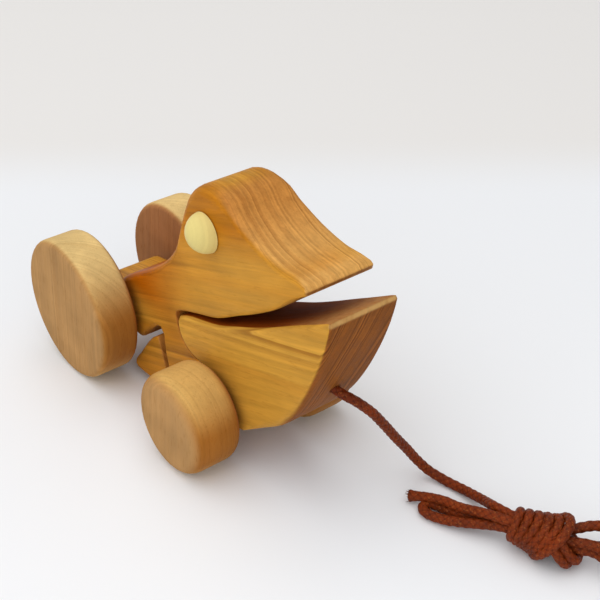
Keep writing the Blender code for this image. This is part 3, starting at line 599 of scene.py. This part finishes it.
def wood_material(name, colours, heart, grain, growth, face_axis=(0, 0, 0), face_range=FACE_RANGE,
                  tint=None, edge=None):
    """Oiled wood whose tree stood at heart, with its grain turned from X by the angles in grain.

    Its colours are for early wood, darker patches, late-wood lines, end grain, faces and inner faces; the
    wheels' inner faces are painted shade.
    Where it looks along face_axis it has its face colour, and towards the neck it takes on the tint as
    painted shade and warm bounce light.
    An edge is a point that an edge across the board goes through, the colour painted along it (painted
    shade on the snout, wear and a painted highlight on the jaw), how much of that colour the face behind
    it has, and the colour of the end grain near it.
    """
    material, sheet, shader = new_material(name)
    spot = sheet.add("ShaderNodeTexCoord").outputs
    at = sheet.parts(spot["Object"])
    place = sheet.add("ShaderNodeMapping",
                      {"Vector": spot["Object"], "Location": heart, "Rotation": grain},
                      vector_type="TEXTURE")
    facing = sheet.add("ShaderNodeMapping", {"Vector": spot["Normal"], "Rotation": grain},
                       vector_type="TEXTURE")
    square_on = sheet.maths("ABSOLUTE", sheet.measure("DOT_PRODUCT", spot["Normal"], face_axis))
    # Inner faces, towards the middle, get painted shade
    outward = sheet.maths("MULTIPLY", at["Y"], sheet.parts(spot["Normal"])["Y"])
    inner = sheet.remap(outward, *INNER_FACE_RANGE)
    light, deep, line, end, face, inner_face = [(*colour, 1.0) for colour in colours]
    inputs = {"Place": place.outputs[0], "Facing": facing.outputs[0], "Light": light, "Deep": deep,
              "Line": line, "End": end, "Face": sheet.mix(inner, face, inner_face),
              "Face Share": sheet.remap(square_on, *face_range), **growth}
    if tint:
        above = sheet.remap(at["Z"], *SHADE_ABOVE)
        band = sheet.maths("MULTIPLY", above, sheet.remap(at["Z"], *SHADE_BELOW))
        inputs["Shade"] = sheet.maths("MULTIPLY", sheet.remap(at["X"], *SHADE_ALONG), band)
        inputs["Tint"] = (*tint, 1.0)
    if edge:
        corner, edge_colour, tip_paling, near_end = edge
        level = sheet.vector("MULTIPLY", spot["Object"], (1.0, 0.0, 1.0))
        away = sheet.measure("DISTANCE", level, (corner.x, 0.0, corner.z))
        # Painted shade along the snout's edge, wear and a painted highlight along the jaw's lip
        rubbed = sheet.remap(away, EDGE_MARK_FROM, EDGE_MARK_TO, 0.0, EDGE_MARK)
        # The jaw's top turns to the pale edge colour towards its tip, where the painted mouth shade ends
        towards_tip = sheet.remap(away, MOUTH_TIP_FROM, EDGE_MARK_TO, 0.0, tip_paling)
        towards_tip = sheet.maths("MULTIPLY", towards_tip, inputs["Face Share"])
        near = sheet.remap(away, END_CHANGE_FROM, END_CHANGE_TO)
        inputs["Edge Mark"] = (*edge_colour, 1.0)
        inputs["Edge Mark Share"] = sheet.maths("MAXIMUM", rubbed, towards_tip)
        inputs["End"] = sheet.mix(near, end, (*near_end, 1.0))
    wood = sheet.add("ShaderNodeGroup", inputs, node_tree=oiled_wood_group())
    bump = sheet.add("ShaderNodeBump", {"Strength": WOOD_BUMP * growth["Streak Share"],
                                        "Distance": BUMP_DISTANCE, "Height": wood.outputs["Height"]})
    sheet.link(wood.outputs["Color"], shader.inputs["Base Color"])
    sheet.link(wood.outputs["Roughness"], shader.inputs["Roughness"])
    sheet.link(bump.outputs[0], shader.inputs["Normal"])
    shader.inputs["Specular IOR Level"].default_value = WOOD_SHINE
    return material


def cord_material(looks):
    """Waxed braided thread, with painted shade in the creases and dusty with wax on the strands."""
    material, sheet, shader = new_material("waxed_thread")
    spot = sheet.add("ShaderNodeTexCoord").outputs
    braid = sheet.add("ShaderNodeGroup", {"Map": spot["UV"], "Strands": looks.strands},
                      node_tree=braid_group()).outputs
    blotches = sheet.noise(spot["Object"], THREAD_BLOTCH_WAVES, 3.0)
    dust = sheet.noise(spot["Object"], DUST_WAVES, 2.0, 0.6)
    dark = (*(THREAD_DARK * part for part in looks.thread), 1.0)
    bright = (*(THREAD_BRIGHT * part for part in looks.thread), 1.0)
    colour = sheet.mix(sheet.remap(blotches, 0.3, 0.7), dark, bright)
    colour = sheet.mix(sheet.remap(dust, 0.54, 0.70, 0.0, 0.55), colour, (*looks.wax, 1.0))
    # Painted shade in the braid's creases
    colour = sheet.mix(sheet.maths("MULTIPLY", braid["Crease Shade"], 0.7), colour, (*looks.crease_shade, 1.0))
    height = sheet.maths("ADD", braid["Height"], sheet.maths("MULTIPLY", braid["Yarn"], 0.10))
    height = sheet.maths("ADD", height, sheet.maths("MULTIPLY", dust, 0.25))
    bump = sheet.add("ShaderNodeBump",
                     {"Strength": CORD_BUMP, "Distance": BUMP_DISTANCE, "Height": height})
    sheet.link(colour, shader.inputs["Base Color"])
    sheet.link(sheet.remap(blotches, 0.3, 0.7, 0.46, 0.60), shader.inputs["Roughness"])
    sheet.link(bump.outputs[0], shader.inputs["Normal"])
    shader.inputs["Specular IOR Level"].default_value = CORD_SHINE
    return material


def heading_at(before, point, after):
    """Direction of a curve at a point, given its neighbours; the nearer one counts for more."""
    behind = (point - before).length
    ahead = (after - point).length
    return ((point - before) * (ahead / behind) + (after - point) * (behind / ahead)) / (behind + ahead)


def smooth(points, spacing):
    """Points about one spacing apart on a smooth curve through the given points."""
    knots = [Vector(point) for point in points]
    padded = [knots[0] * 2 - knots[1]] + knots + [knots[-1] * 2 - knots[-2]]
    result = []
    for first, start, end, last in zip(padded, padded[1:], padded[2:], padded[3:]):
        length = (end - start).length
        leaving = heading_at(first, start, end) * length
        arriving = heading_at(start, end, last) * length
        count = max(1, round(length / spacing))
        for step in range(count):
            share = step / count
            square = share * share
            cube = square * share
            result.append(start * (2 * cube - 3 * square + 1) + leaving * (cube - 2 * square + share)
                          + end * (3 * square - 2 * cube) + arriving * (cube - square))
    result.append(knots[-1])
    return result


def hank_point(along, across, up):
    """A place on the hank, given along its bent centre line, to its left and above the floor."""
    heading = HANK_HEADING + along / HANK_BEND_RADIUS
    centre_x = HANK_MIDDLE[0] + HANK_BEND_RADIUS * (sin(heading) - sin(HANK_HEADING))
    centre_y = HANK_MIDDLE[1] - HANK_BEND_RADIUS * (cos(heading) - cos(HANK_HEADING))
    return (centre_x - across * sin(heading), centre_y + across * cos(heading), up)


def run_out(end, slot, spread, layer):
    """A strand from the waist towards one end of the hank, spreading and settling as it goes."""
    start = HALF_WAIST
    if end < 0:
        start = -HALF_WAIST if slot[1] < KNOT_Z else -(HALF_WAIST + UPPER_DELAY)
    points = []
    for step in range(RUN_STEPS + 1):
        share = step / RUN_STEPS
        ease = share * share * (3 - 2 * share)
        apart = sin(share * pi / 2) if end > 0 else ease
        points.append((start + (end - start) * share, slot[0] + (spread - slot[0]) * apart,
                       slot[1] + (layer - slot[1]) * ease))
    return points


def trade_places(slot, next_slot, way):
    """A strand's pass through the knot from one place in the bundle to another, kept to the outside."""
    share = TWIST_SPREAD / 2
    across = share * (slot[0] + next_slot[0])
    up = KNOT_Z + share * (slot[1] + next_slot[1] - 2 * KNOT_Z)
    reach = TRADE_REACH * way * HALF_WAIST
    return [(-reach, *slot), (0, across, up), (reach, *next_slot)]


def fold(end, first, second, layer):
    """The round turn at one end of the hank, from one strand to the next."""
    middle = (first + second) / 2
    radius = (first - second) / 2
    bulge = abs(radius) if end > 0 else -abs(radius)
    turns = [pi * step / FOLD_STEPS for step in range(1, FOLD_STEPS)]
    return [(end + bulge * sin(turn), middle + radius * cos(turn), layer) for turn in turns]


def hank_path():
    """Centre line of the folded cord: four strands through the waist, a fold left and two right."""
    step = HALF_STRAND_STEP
    first = (step, KNOT_Z + step)
    second = (-step, KNOT_Z + step)
    third = (-step, KNOT_Z - step)
    fourth = (step, KNOT_Z - step)
    wide = FOLD_RADIUS
    narrow = FOLD_RADIUS - CORD_RADIUS / 3
    top_end = TOP_REACH - narrow
    low_end = LOW_REACH - wide
    left_end = -LEFT_REACH + LEFT_FOLD / 2
    left_near = LEFT_FAR - LEFT_FOLD
    entry = Vector((-HALF_WAIST, *first))
    path = [tuple(entry + LEAD), tuple(entry + LEAD * 0.5), tuple(entry - LEAD * 0.1), (0, *first)]
    path += run_out(top_end, (first[0] + LEAVE_ASIDE, first[1] + LEAVE_UP), narrow, SECOND_LAYER)
    path += fold(top_end, narrow, -narrow, SECOND_LAYER)
    path += run_out(top_end, second, -narrow, SECOND_LAYER)[::-1]
    path += trade_places(second, third, -1)
    path += run_out(left_end, third, left_near, FLOOR_LAYER)
    path += fold(left_end, left_near, LEFT_FAR, FLOOR_LAYER)
    path += run_out(left_end, fourth, LEFT_FAR, FLOOR_LAYER)[::-1]
    path += trade_places(fourth, third, 1)
    path += run_out(low_end, third, -wide, FLOOR_LAYER)
    path += fold(low_end, -wide, wide, FLOOR_LAYER)
    path += run_out(low_end, fourth, wide, FLOOR_LAYER)[::-1]
    path += trade_places(fourth, second, -1)
    last_run = [(back - CUT_END_REACH, across, up) for back, across, up in CUT_END_RUN]
    path += run_out(last_run[0][0], second, *last_run[0][1:]) + last_run[1:]
    return [hank_point(*point) for point in path]


def cord_path():
    """Centre line of the cord from inside its hole in the jaw, along the floor and through the hank."""
    out = Vector((cos(HOLE_PITCH), 0, sin(HOLE_PITCH)))
    mouth = Vector(HOLE_MOUTH)
    route = [mouth - out * HOLE_REACH, mouth - out * HOLE_REACH / 2, mouth]
    return route + [Vector(point) for point in CORD_ROUTE + hank_path()]


def on_knot(along, degrees, radius):
    """A place on the knot: along the hank, degrees from the top towards the hank's left, and outwards."""
    angle = radians(degrees)
    return hank_point(along, radius * sin(angle), KNOT_Z + radius * cos(angle))


def knot_path():
    """Centre line of the knot: wraps that lean more and more, then loops that come out from under them.

    The wraps start below, and are counted from the first pass over the top.
    """
    points = []
    for number in range(round(FAN_WRAPS * WRAP_POINTS)):
        degrees = 180 - 360 * number / WRAP_POINTS
        wrap = number / WRAP_POINTS - 0.5
        lean = FAN_LEAN + FAN_LEAN_GROWTH * wrap
        lift = min(max((wrap - FAN_LIFT_FROM) / FAN_LIFT_OVER, 0.0), 1.0)
        radius = FAN_RADIUS + FAN_RADIUS_GROWTH * wrap + FAN_LIFT * lift * lift * (3 - 2 * lift)
        along = FAN_START + FAN_PITCH * wrap + lean * cos(radians(degrees))
        points.append(on_knot(along, degrees, radius))
    for number, (top, low, out) in enumerate(LOOPS):
        for degrees, along, outwards in LOOP_TURN:
            radius = LOOP_RADIUS + (out - LOOP_RADIUS) * outwards
            points.append(on_knot(top + (low - top) * along, -360 * number - degrees, radius))
    return points


def in_frame(points):
    """Points in millimetres from the rear axle as vectors in metres in the model's frame."""
    return [Vector(((point[0] + REAR_AXLE_X) * MM, point[1] * MM, point[2] * MM)) for point in points]


def braid_height(around, crossings, strands):
    """How far the braid stands out at a place, from 0 in a crease to 1 on a strand."""
    rising = around * strands + crossings
    falling = around * strands - crossings
    first = rising % 1 - 0.5
    second = falling % 1 - 0.5
    over = (rising // 1 + falling // 1) % 2 == 0
    across, along = (first, second) if over else (second, first)
    return max(cos(pi * across), 0.0) ** STRAND_ROUNDNESS * cos(STRAND_ARCH * pi * along)


def ring_frames(path):
    """For each point of a path two directions square to it, carried along without twisting."""
    frames = []
    side = None
    for number in range(len(path)):
        ahead = path[min(number + 1, len(path) - 1)] - path[max(number - 1, 0)]
        ahead.normalize()
        if side is None:
            side = ahead.orthogonal()
        side = (side - ahead * side.dot(ahead)).normalized()
        frames.append((side, ahead.cross(side)))
    return frames


def flare_at(left):
    """How much wider the cord is near its cut end, where its strands spring apart."""
    share = max(0.0, 1 - left / (FRAY_LENGTH * MM))
    return 1 + FRAY_FLARE * share * share


def braided_tube(name, path, radius, looks, cut_end):
    """A braided cord along a path, with its strands raised and its map laid along it."""
    work = bmesh.new()
    chart = work.loops.layers.uv.new("braid")
    frames = ring_frames(path)
    travel = [0.0]
    for start, end in zip(path, path[1:]):
        travel.append(travel[-1] + (end - start).length)
    rings = []
    for point, (side, other), passed in zip(path, frames, travel):
        swell = flare_at(travel[-1] - passed) if cut_end else 1.0
        ring = []
        for number in range(CORD_SIDES):
            turn = number / CORD_SIDES
            height = braid_height(turn, passed / looks.braid_pitch, looks.strands)
            reach = radius * MM * swell * (1 + looks.relief * (height - USUAL_HEIGHT))
            out = side * cos(2 * pi * turn) + other * sin(2 * pi * turn)
            ring.append(work.verts.new(point + out * reach))
        rings.append(ring)
    for place in range(len(rings) - 1):
        low = travel[place] / looks.braid_pitch
        high = travel[place + 1] / looks.braid_pitch
        for number in range(CORD_SIDES):
            following = (number + 1) % CORD_SIDES
            face = work.faces.new((rings[place][number], rings[place][following],
                                   rings[place + 1][following], rings[place + 1][number]))
            near = number / CORD_SIDES
            far = (number + 1) / CORD_SIDES
            for loop, spot in zip(face.loops, ((near, low), (far, low), (far, high), (near, high))):
                loop[chart].uv = spot
    last_dome = CUT_HOLLOW if cut_end else END_DOME
    close_end(work, rings[0], path[0], path[0] - path[1], END_DOME, looks.strands)
    close_end(work, rings[-1], path[-1], path[-1] - path[-2], last_dome, looks.strands)
    if cut_end:
        add_fray(work, path[-1], (path[-1] - path[-2]).normalized(), frames[-1], looks.strands)
    bmesh.ops.recalc_face_normals(work, faces=work.faces)
    mesh = bpy.data.meshes.new(name)
    work.to_mesh(mesh)
    work.free()
    piece = bpy.data.objects.new(name, mesh)
    bpy.context.scene.collection.objects.link(piece)
    mesh.shade_smooth()
    mesh.materials.append(bpy.data.materials.get("waxed_thread") or cord_material(looks))
    return piece


def paint_as_strand(faces, chart, strands):
    """Map faces to the middle of a strand, clear of the braid's creases."""
    for face in faces:
        for loop in face.loops:
            loop[chart].uv = (0.5 / strands, 0.0)


def close_end(work, ring, centre, outward, dome, strands):
    """Close a cord's end with two rings and a middle, domed outwards or sunk in."""
    outward = outward.normalized()
    chart = work.loops.layers.uv.active
    last = ring
    faces = []
    for share in END_RINGS:
        lift = outward * dome * (1 - share) * CORD_RADIUS * MM
        inner = [work.verts.new(centre + (vertex.co - centre) * share + lift) for vertex in ring]
        for number in range(CORD_SIDES):
            corners = (last[number - 1], last[number], inner[number], inner[number - 1])
            faces.append(work.faces.new(corners))
        last = inner
    faces.append(work.faces.new(last))
    paint_as_strand(faces, chart, strands)


def add_fray(work, tip, ahead, sides, strands):
    """Loose ends of thread that stand out of the cut."""
    chance = Random(FRAY_SEED)
    faces = []
    for _ in range(FRAY_FIBRES):
        angle = 2 * pi * chance.random()
        reach = CORD_RADIUS * MM * (1 + FRAY_FLARE) * chance.random() ** 0.5
        out = sides[0] * cos(angle) + sides[1] * sin(angle)
        foot = tip + out * reach - ahead * FIBRE_ROOT
        lean = (ahead + out * FIBRE_LEAN * chance.random() * reach / (CORD_RADIUS * MM)).normalized()
        length = FIBRE_SHORTEST + FIBRE_EXTRA * chance.random()
        point = work.verts.new(foot + lean * length)
        first = lean.orthogonal().normalized() * FIBRE_RADIUS
        second = lean.cross(first)
        base = [work.verts.new(foot + first * cos(turn) + second * sin(turn)) for turn in FIBRE_CORNERS]
        faces += [work.faces.new((base[place - 1], base[place], point)) for place in range(len(base))]
    paint_as_strand(faces, work.loops.layers.uv.active, strands)


def choose(piece):
    """Make one object the only selected and active one."""
    bpy.ops.object.select_all(action="DESELECT")
    piece.select_set(True)
    bpy.context.view_layer.objects.active = piece


def foremost(node):
    """The point of a solid that is furthest ahead."""
    return max((corner.co for corner in frame["nodes"][node].data.vertices), key=lambda place: place.x)


def dressed_copy(node, name, material):
    """Add a merged, smoothly shaded copy of a solid that stands for it and moves as it does."""
    choose(frame["nodes"][node])
    bpy.ops.object.duplicate()
    piece = bpy.context.active_object
    piece.name = name
    piece.data.name = name
    body = piece["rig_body"]
    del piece["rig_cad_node"]
    choose(piece)
    bpy.ops.object.mode_set(mode="EDIT")
    bpy.ops.mesh.select_all(action="SELECT")
    bpy.ops.mesh.remove_doubles(threshold=MERGE_DISTANCE)
    bpy.ops.mesh.dissolve_limited(angle_limit=FLAT_ANGLE)
    bpy.ops.object.mode_set(mode="OBJECT")
    bpy.ops.mesh.customdata_custom_splitnormals_clear()
    bpy.ops.object.shade_smooth_by_angle(angle=SHARP_ANGLE)
    weigh = piece.modifiers.new("flat faces stay flat", "WEIGHTED_NORMAL")
    weigh.mode = "FACE_AREA"
    weigh.weight = FLAT_FACE_WEIGHT
    weigh.keep_sharp = True
    bpy.ops.object.modifier_apply(modifier=weigh.name)
    piece.data.materials.clear()
    piece.data.materials.append(material)
    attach(piece, body)
    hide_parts(node)


class FROG_OT_stage(bpy.types.Operator):
    """Set up the floor, the soft lights and the camera"""

    bl_idname = "frog.stage"
    bl_label = "Set the stage"

    def execute(self, context):
        looks = context.scene.frog_stage
        ahead = Vector((cos(looks.camera_pitch) * cos(looks.camera_heading),
                        cos(looks.camera_pitch) * sin(looks.camera_heading), sin(looks.camera_pitch)))
        right = Vector((sin(looks.camera_heading), -cos(looks.camera_heading), 0))
        up = right.cross(ahead)
        turn = Matrix((right, up, -ahead)).transposed() @ Matrix.Rotation(looks.camera_roll, 3, "Z")
        bpy.ops.object.select_all(action="DESELECT")
        bpy.ops.object.camera_add(location=looks.camera_place, rotation=turn.to_euler())
        camera = context.active_object
        camera.name = "photo_camera"
        camera.data.lens = looks.lens
        camera.data.sensor_width = SENSOR_WIDTH
        camera.data.clip_start = NEAREST_SEEN
        camera.data.dof.use_dof = False
        context.scene.camera = camera
        self.add_floor(looks)
        self.add_light("key_softbox", KEY_PLACE, KEY_SIZE, looks.key_power, KEY_COLOUR)
        self.add_light("front_softbox", FRONT_PLACE, FRONT_SIZE, looks.fill_power, FRONT_COLOUR)
        world = bpy.data.worlds.new("studio_room")
        world.use_nodes = True
        background = world.node_tree.nodes["Background"]
        background.inputs["Color"].default_value = ROOM_COLOUR
        background.inputs["Strength"].default_value = looks.sky
        context.scene.world = world
        context.scene.view_settings.view_transform = "Standard"
        context.scene.view_settings.look = "None"
        return {"FINISHED"}

    def add_light(self, name, place, size, power, colour):
        """A square soft light that looks at the frog."""
        turn = (LIGHT_TARGET - Vector(place)).to_track_quat("-Z", "Y").to_euler()
        bpy.ops.object.light_add(type="AREA", location=place, rotation=turn)
        light = bpy.context.active_object
        light.name = name
        light.data.shape = "SQUARE"
        light.data.size = size
        light.data.energy = power
        light.data.color = colour

    def add_floor(self, looks):
        """A wide floor, white round the frog, darker far behind it as painted shade and lighter near the
        camera as painted light.
        """
        bpy.ops.object.select_all(action="DESELECT")
        bpy.ops.mesh.primitive_plane_add(size=FLOOR_SIZE)
        floor = bpy.context.active_object
        floor.name = "studio_floor"
        bpy.ops.object.mode_set(mode="EDIT")
        bpy.ops.mesh.subdivide(number_cuts=FLOOR_CUTS)
        bpy.ops.object.mode_set(mode="OBJECT")
        material, sheet, shader = new_material("studio_paper")
        spot = sheet.add("ShaderNodeTexCoord").outputs["Object"]
        ahead = (cos(looks.camera_heading), sin(looks.camera_heading), 0.0)
        start = Vector(looks.camera_place).dot(Vector(ahead))
        distance = sheet.maths("SUBTRACT", sheet.measure("DOT_PRODUCT", spot, ahead), start)
        # Painted shade far off
        far = sheet.remap(distance, looks.far_line - FAR_FADE_BEFORE, looks.far_line + FAR_FADE_AFTER)
        colour = sheet.mix(far, (*looks.floor_white, 1.0), (*looks.far_floor_shade, 1.0))
        clouds_and_painted_light = sheet.remap(sheet.noise(spot, CLOUD_WAVES, 2.0), 0.3, 0.7, 0.992, 1.0)
        # Painted light near the camera
        near = sheet.remap(distance, *NEAR_FLOOR_RANGE, 1.0, NEAR_FLOOR_PAINTED_LIGHT)
        clouds_and_painted_light = sheet.grey(sheet.maths("MULTIPLY", clouds_and_painted_light, near))
        sheet.link(sheet.mix(1.0, colour, clouds_and_painted_light, "MULTIPLY"), shader.inputs["Base Color"])
        shader.inputs["Roughness"].default_value = PAPER_ROUGHNESS
        shader.inputs["Specular IOR Level"].default_value = PAPER_SHINE
        floor.data.materials.append(material)


class FROG_OT_cord(bpy.types.Operator):
    """Lay the braided cord from the jaw to the knot and through the folded hank to its cut end"""

    bl_idname = "frog.cord"
    bl_label = "Braid the cord and tie the knot"

    def execute(self, context):
        looks = context.scene.frog_cord
        path = in_frame(smooth(cord_path(), RING_STEP))
        wraps = in_frame(smooth(knot_path(), RING_STEP))
        cord = braided_tube("braided_cord", path, CORD_RADIUS, looks, True)
        knot = braided_tube("tied_knot", wraps, KNOT_CORD_RADIUS, looks, False)
        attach(knot, "body")
        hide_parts("cord_knot")
        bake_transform(cord)
        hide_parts("pull_cord", "cord_hank")
        return {"FINISHED"}


class FROG_OT_boards(bpy.types.Operator):
    """Finish the sawn body and the lower jaw in oiled honey-coloured wood"""

    bl_idname = "frog.boards"
    bl_label = "Oil the boards"

    def execute(self, context):
        looks = context.scene.frog_wood
        growth = {"Ring Spacing": looks.ring_spacing, "Wander": 0.007, "Line Share": 0.42,
                  "Streak Share": 1.0, "Pore Share": 0.3, "Blotch Share": 0.35, "End From": 0.22,
                  "End To": 0.54, "End Lines": 0.0, "Gloss": 0.44}
        colours = (looks.honey_light, looks.honey_deep, looks.honey_line, looks.honey_end,
                   looks.honey_end, looks.honey_end)
        # Painted shade along the snout's lower edge
        edge = (foremost("frog_body") + SNOUT_EDGE_SHIFT, looks.snout_edge_shade, 0.0, looks.snout_end)
        # The body takes painted shade towards the neck
        body = wood_material("oiled_body", colours, heart=(0.0, 0.058, 0.062), grain=(0, radians(-20), 0),
                             growth=growth, tint=looks.painted_neck_shade, edge=edge)
        growth["Ring Spacing"] *= 0.85
        growth["Line Share"] = 0.5
        growth["End Lines"] = 0.42
        # The jaw's top inside the mouth takes painted shade, and its front end grain is partly painted
        # shade
        colours = (looks.jaw_light, looks.honey_light, looks.honey_line, looks.jaw_end_grain_and_shade,
                   looks.mouth_painted_shade, looks.mouth_painted_shade)
        # The jaw's lip gets wear and a painted highlight
        edge = (foremost("lower_jaw") + JAW_EDGE_SHIFT, looks.jaw_edge_wear_and_highlight, MOUTH_TIP_PALING, looks.jaw_end_grain_and_shade)
        jaw = wood_material("oiled_jaw", colours, heart=(0.0, 0.050, 0.020), grain=(0, radians(-19), 0),
                            growth=growth, face_axis=(-0.3, 0, 0.954), edge=edge)
        dressed_copy("frog_body", "body_board", body)
        dressed_copy("lower_jaw", "jaw_board", jaw)
        return {"FINISHED"}


class FROG_OT_wheels(bpy.types.Operator):
    """Finish the four turned wheels in paler wood"""

    bl_idname = "frog.wheels"
    bl_label = "Finish the wheels"

    def execute(self, context):
        looks = context.scene.frog_wood
        tints = {"rear": (1.0, 1.0, 1.0), "front": looks.front_tint}
        growth = {"Ring Spacing": 0.0026, "Wander": 0.012, "Line Share": 0.2, "Streak Share": 0.45,
                  "Pore Share": 0.6, "Blotch Share": 0.55, "End From": 0.25, "End To": 1.0, "Gloss": 0.50}
        for axle, tint in tints.items():
            # The paler end grain paints the highlight on the tops of the rims
            light, deep, end = [Vector(colour) * Vector(tint)
                                for colour in (looks.pale_light, looks.pale_deep, looks.pale_end_and_highlight)]
            # The inner faces take painted shade
            colours = (light, deep, looks.pale_line, end, looks.pale_face, looks.wheel_inner_shade)
            wood = wood_material(f"turned_{axle}_wheel", colours, heart=(0.024, -0.085, 0.0),
                                 grain=(0, radians(-84), 0), growth=growth, face_axis=(0, 1, 0),
                                 face_range=WHEEL_FACE_RANGE)
            for side in ("left", "right"):
                name = f"{axle}_{side}_turned_wheel"
                dressed_copy(f"{axle}_wheel_{side}", name, wood)
        return {"FINISHED"}


class FROG_OT_eyes(bpy.types.Operator):
    """Finish the two domed eyes in polished pale wood"""

    bl_idname = "frog.eyes"
    bl_label = "Polish the eyes"

    def execute(self, context):
        light = Vector(context.scene.frog_wood.eye_light)
        colours = (light, light * 0.95, (0.85, 0.80, 0.70), light * 0.92, light, light)
        growth = {"Ring Spacing": 0.0016, "Wander": 0.004, "Line Share": 0.1, "Streak Share": 0.15,
                  "Pore Share": 0.1, "End From": 0.4, "End To": 0.9, "Gloss": 0.36}
        wood = wood_material("polished_eye", colours, heart=(0.03, 0.06, 0.05),
                             grain=(0, radians(-60), 0), growth=growth)
        for side in ("left", "right"):
            dressed_copy(f"eye_{side}", f"{side}_domed_eye", wood)
        return {"FINISHED"}


class FROG_OT_dowels(bpy.types.Operator):
    """Finish the two axles and the pin that the jaw swings on"""

    bl_idname = "frog.dowels"
    bl_label = "Finish the dowels"

    def execute(self, context):
        looks = context.scene.frog_wood
        colours = (looks.pale_light, looks.pale_deep, looks.pale_line, looks.pale_end_and_highlight, looks.pale_end_and_highlight,
                   looks.pale_end_and_highlight)
        growth = {"Ring Spacing": 0.0016, "Wander": 0.003, "Line Share": 0.55, "Streak Share": 0.8,
                  "Pore Share": 0.8, "End From": 0.4, "End To": 0.9, "Gloss": 0.55}
        wood = wood_material("planed_dowel", colours, heart=(0.012, 0.0, 0.004),
                             grain=(0, 0, radians(90)), growth=growth)
        dressed_copy("rear_axle", "rear_axle_dowel", wood)
        dressed_copy("front_axle", "front_axle_dowel", wood)
        dressed_copy("jaw_pin", "jaw_hinge_dowel", wood)
        return {"FINISHED"}


class FROG_PT_looks(bpy.types.Panel):
    """Sidebar panel with the frog's looks and the steps that make them"""

    bl_idname = "FROG_PT_looks"
    bl_label = "Pull-along frog"
    bl_space_type = "VIEW_3D"
    bl_region_type = "UI"
    bl_category = "Frog"

    def draw(self, context):
        scene = context.scene
        lists = {"Stage": scene.frog_stage, "Cord": scene.frog_cord, "Wood": scene.frog_wood}
        for title, looks in lists.items():
            box = self.layout.box()
            box.label(text=title)
            for name in looks.__annotations__:
                box.prop(looks, name)
        for operator in OPERATORS:
            self.layout.operator(operator.bl_idname)


OPERATORS = (FROG_OT_stage, FROG_OT_cord, FROG_OT_boards, FROG_OT_wheels, FROG_OT_eyes, FROG_OT_dowels)
GROUPS = {"frog_wood": FrogWoodLooks, "frog_cord": FrogCordLooks, "frog_stage": FrogStageLooks}


def register():
    """Make the properties, operators and panel known to Blender."""
    for kind in (*GROUPS.values(), *OPERATORS, FROG_PT_looks):
        bpy.utils.register_class(kind)
    for name, group in GROUPS.items():
        setattr(bpy.types.Scene, name, PointerProperty(type=group))


def unregister():
    """Take them away again."""
    for name in GROUPS:
        delattr(bpy.types.Scene, name)
    for kind in reversed((*GROUPS.values(), *OPERATORS, FROG_PT_looks)):
        bpy.utils.unregister_class(kind)


def main():
    """Register the looks and dress the frog."""
    register()
    bpy.ops.frog.stage()
    bpy.ops.frog.cord()
    bpy.ops.frog.boards()
    bpy.ops.frog.wheels()
    bpy.ops.frog.eyes()
    bpy.ops.frog.dowels()


if __name__ == "__main__":
    main()
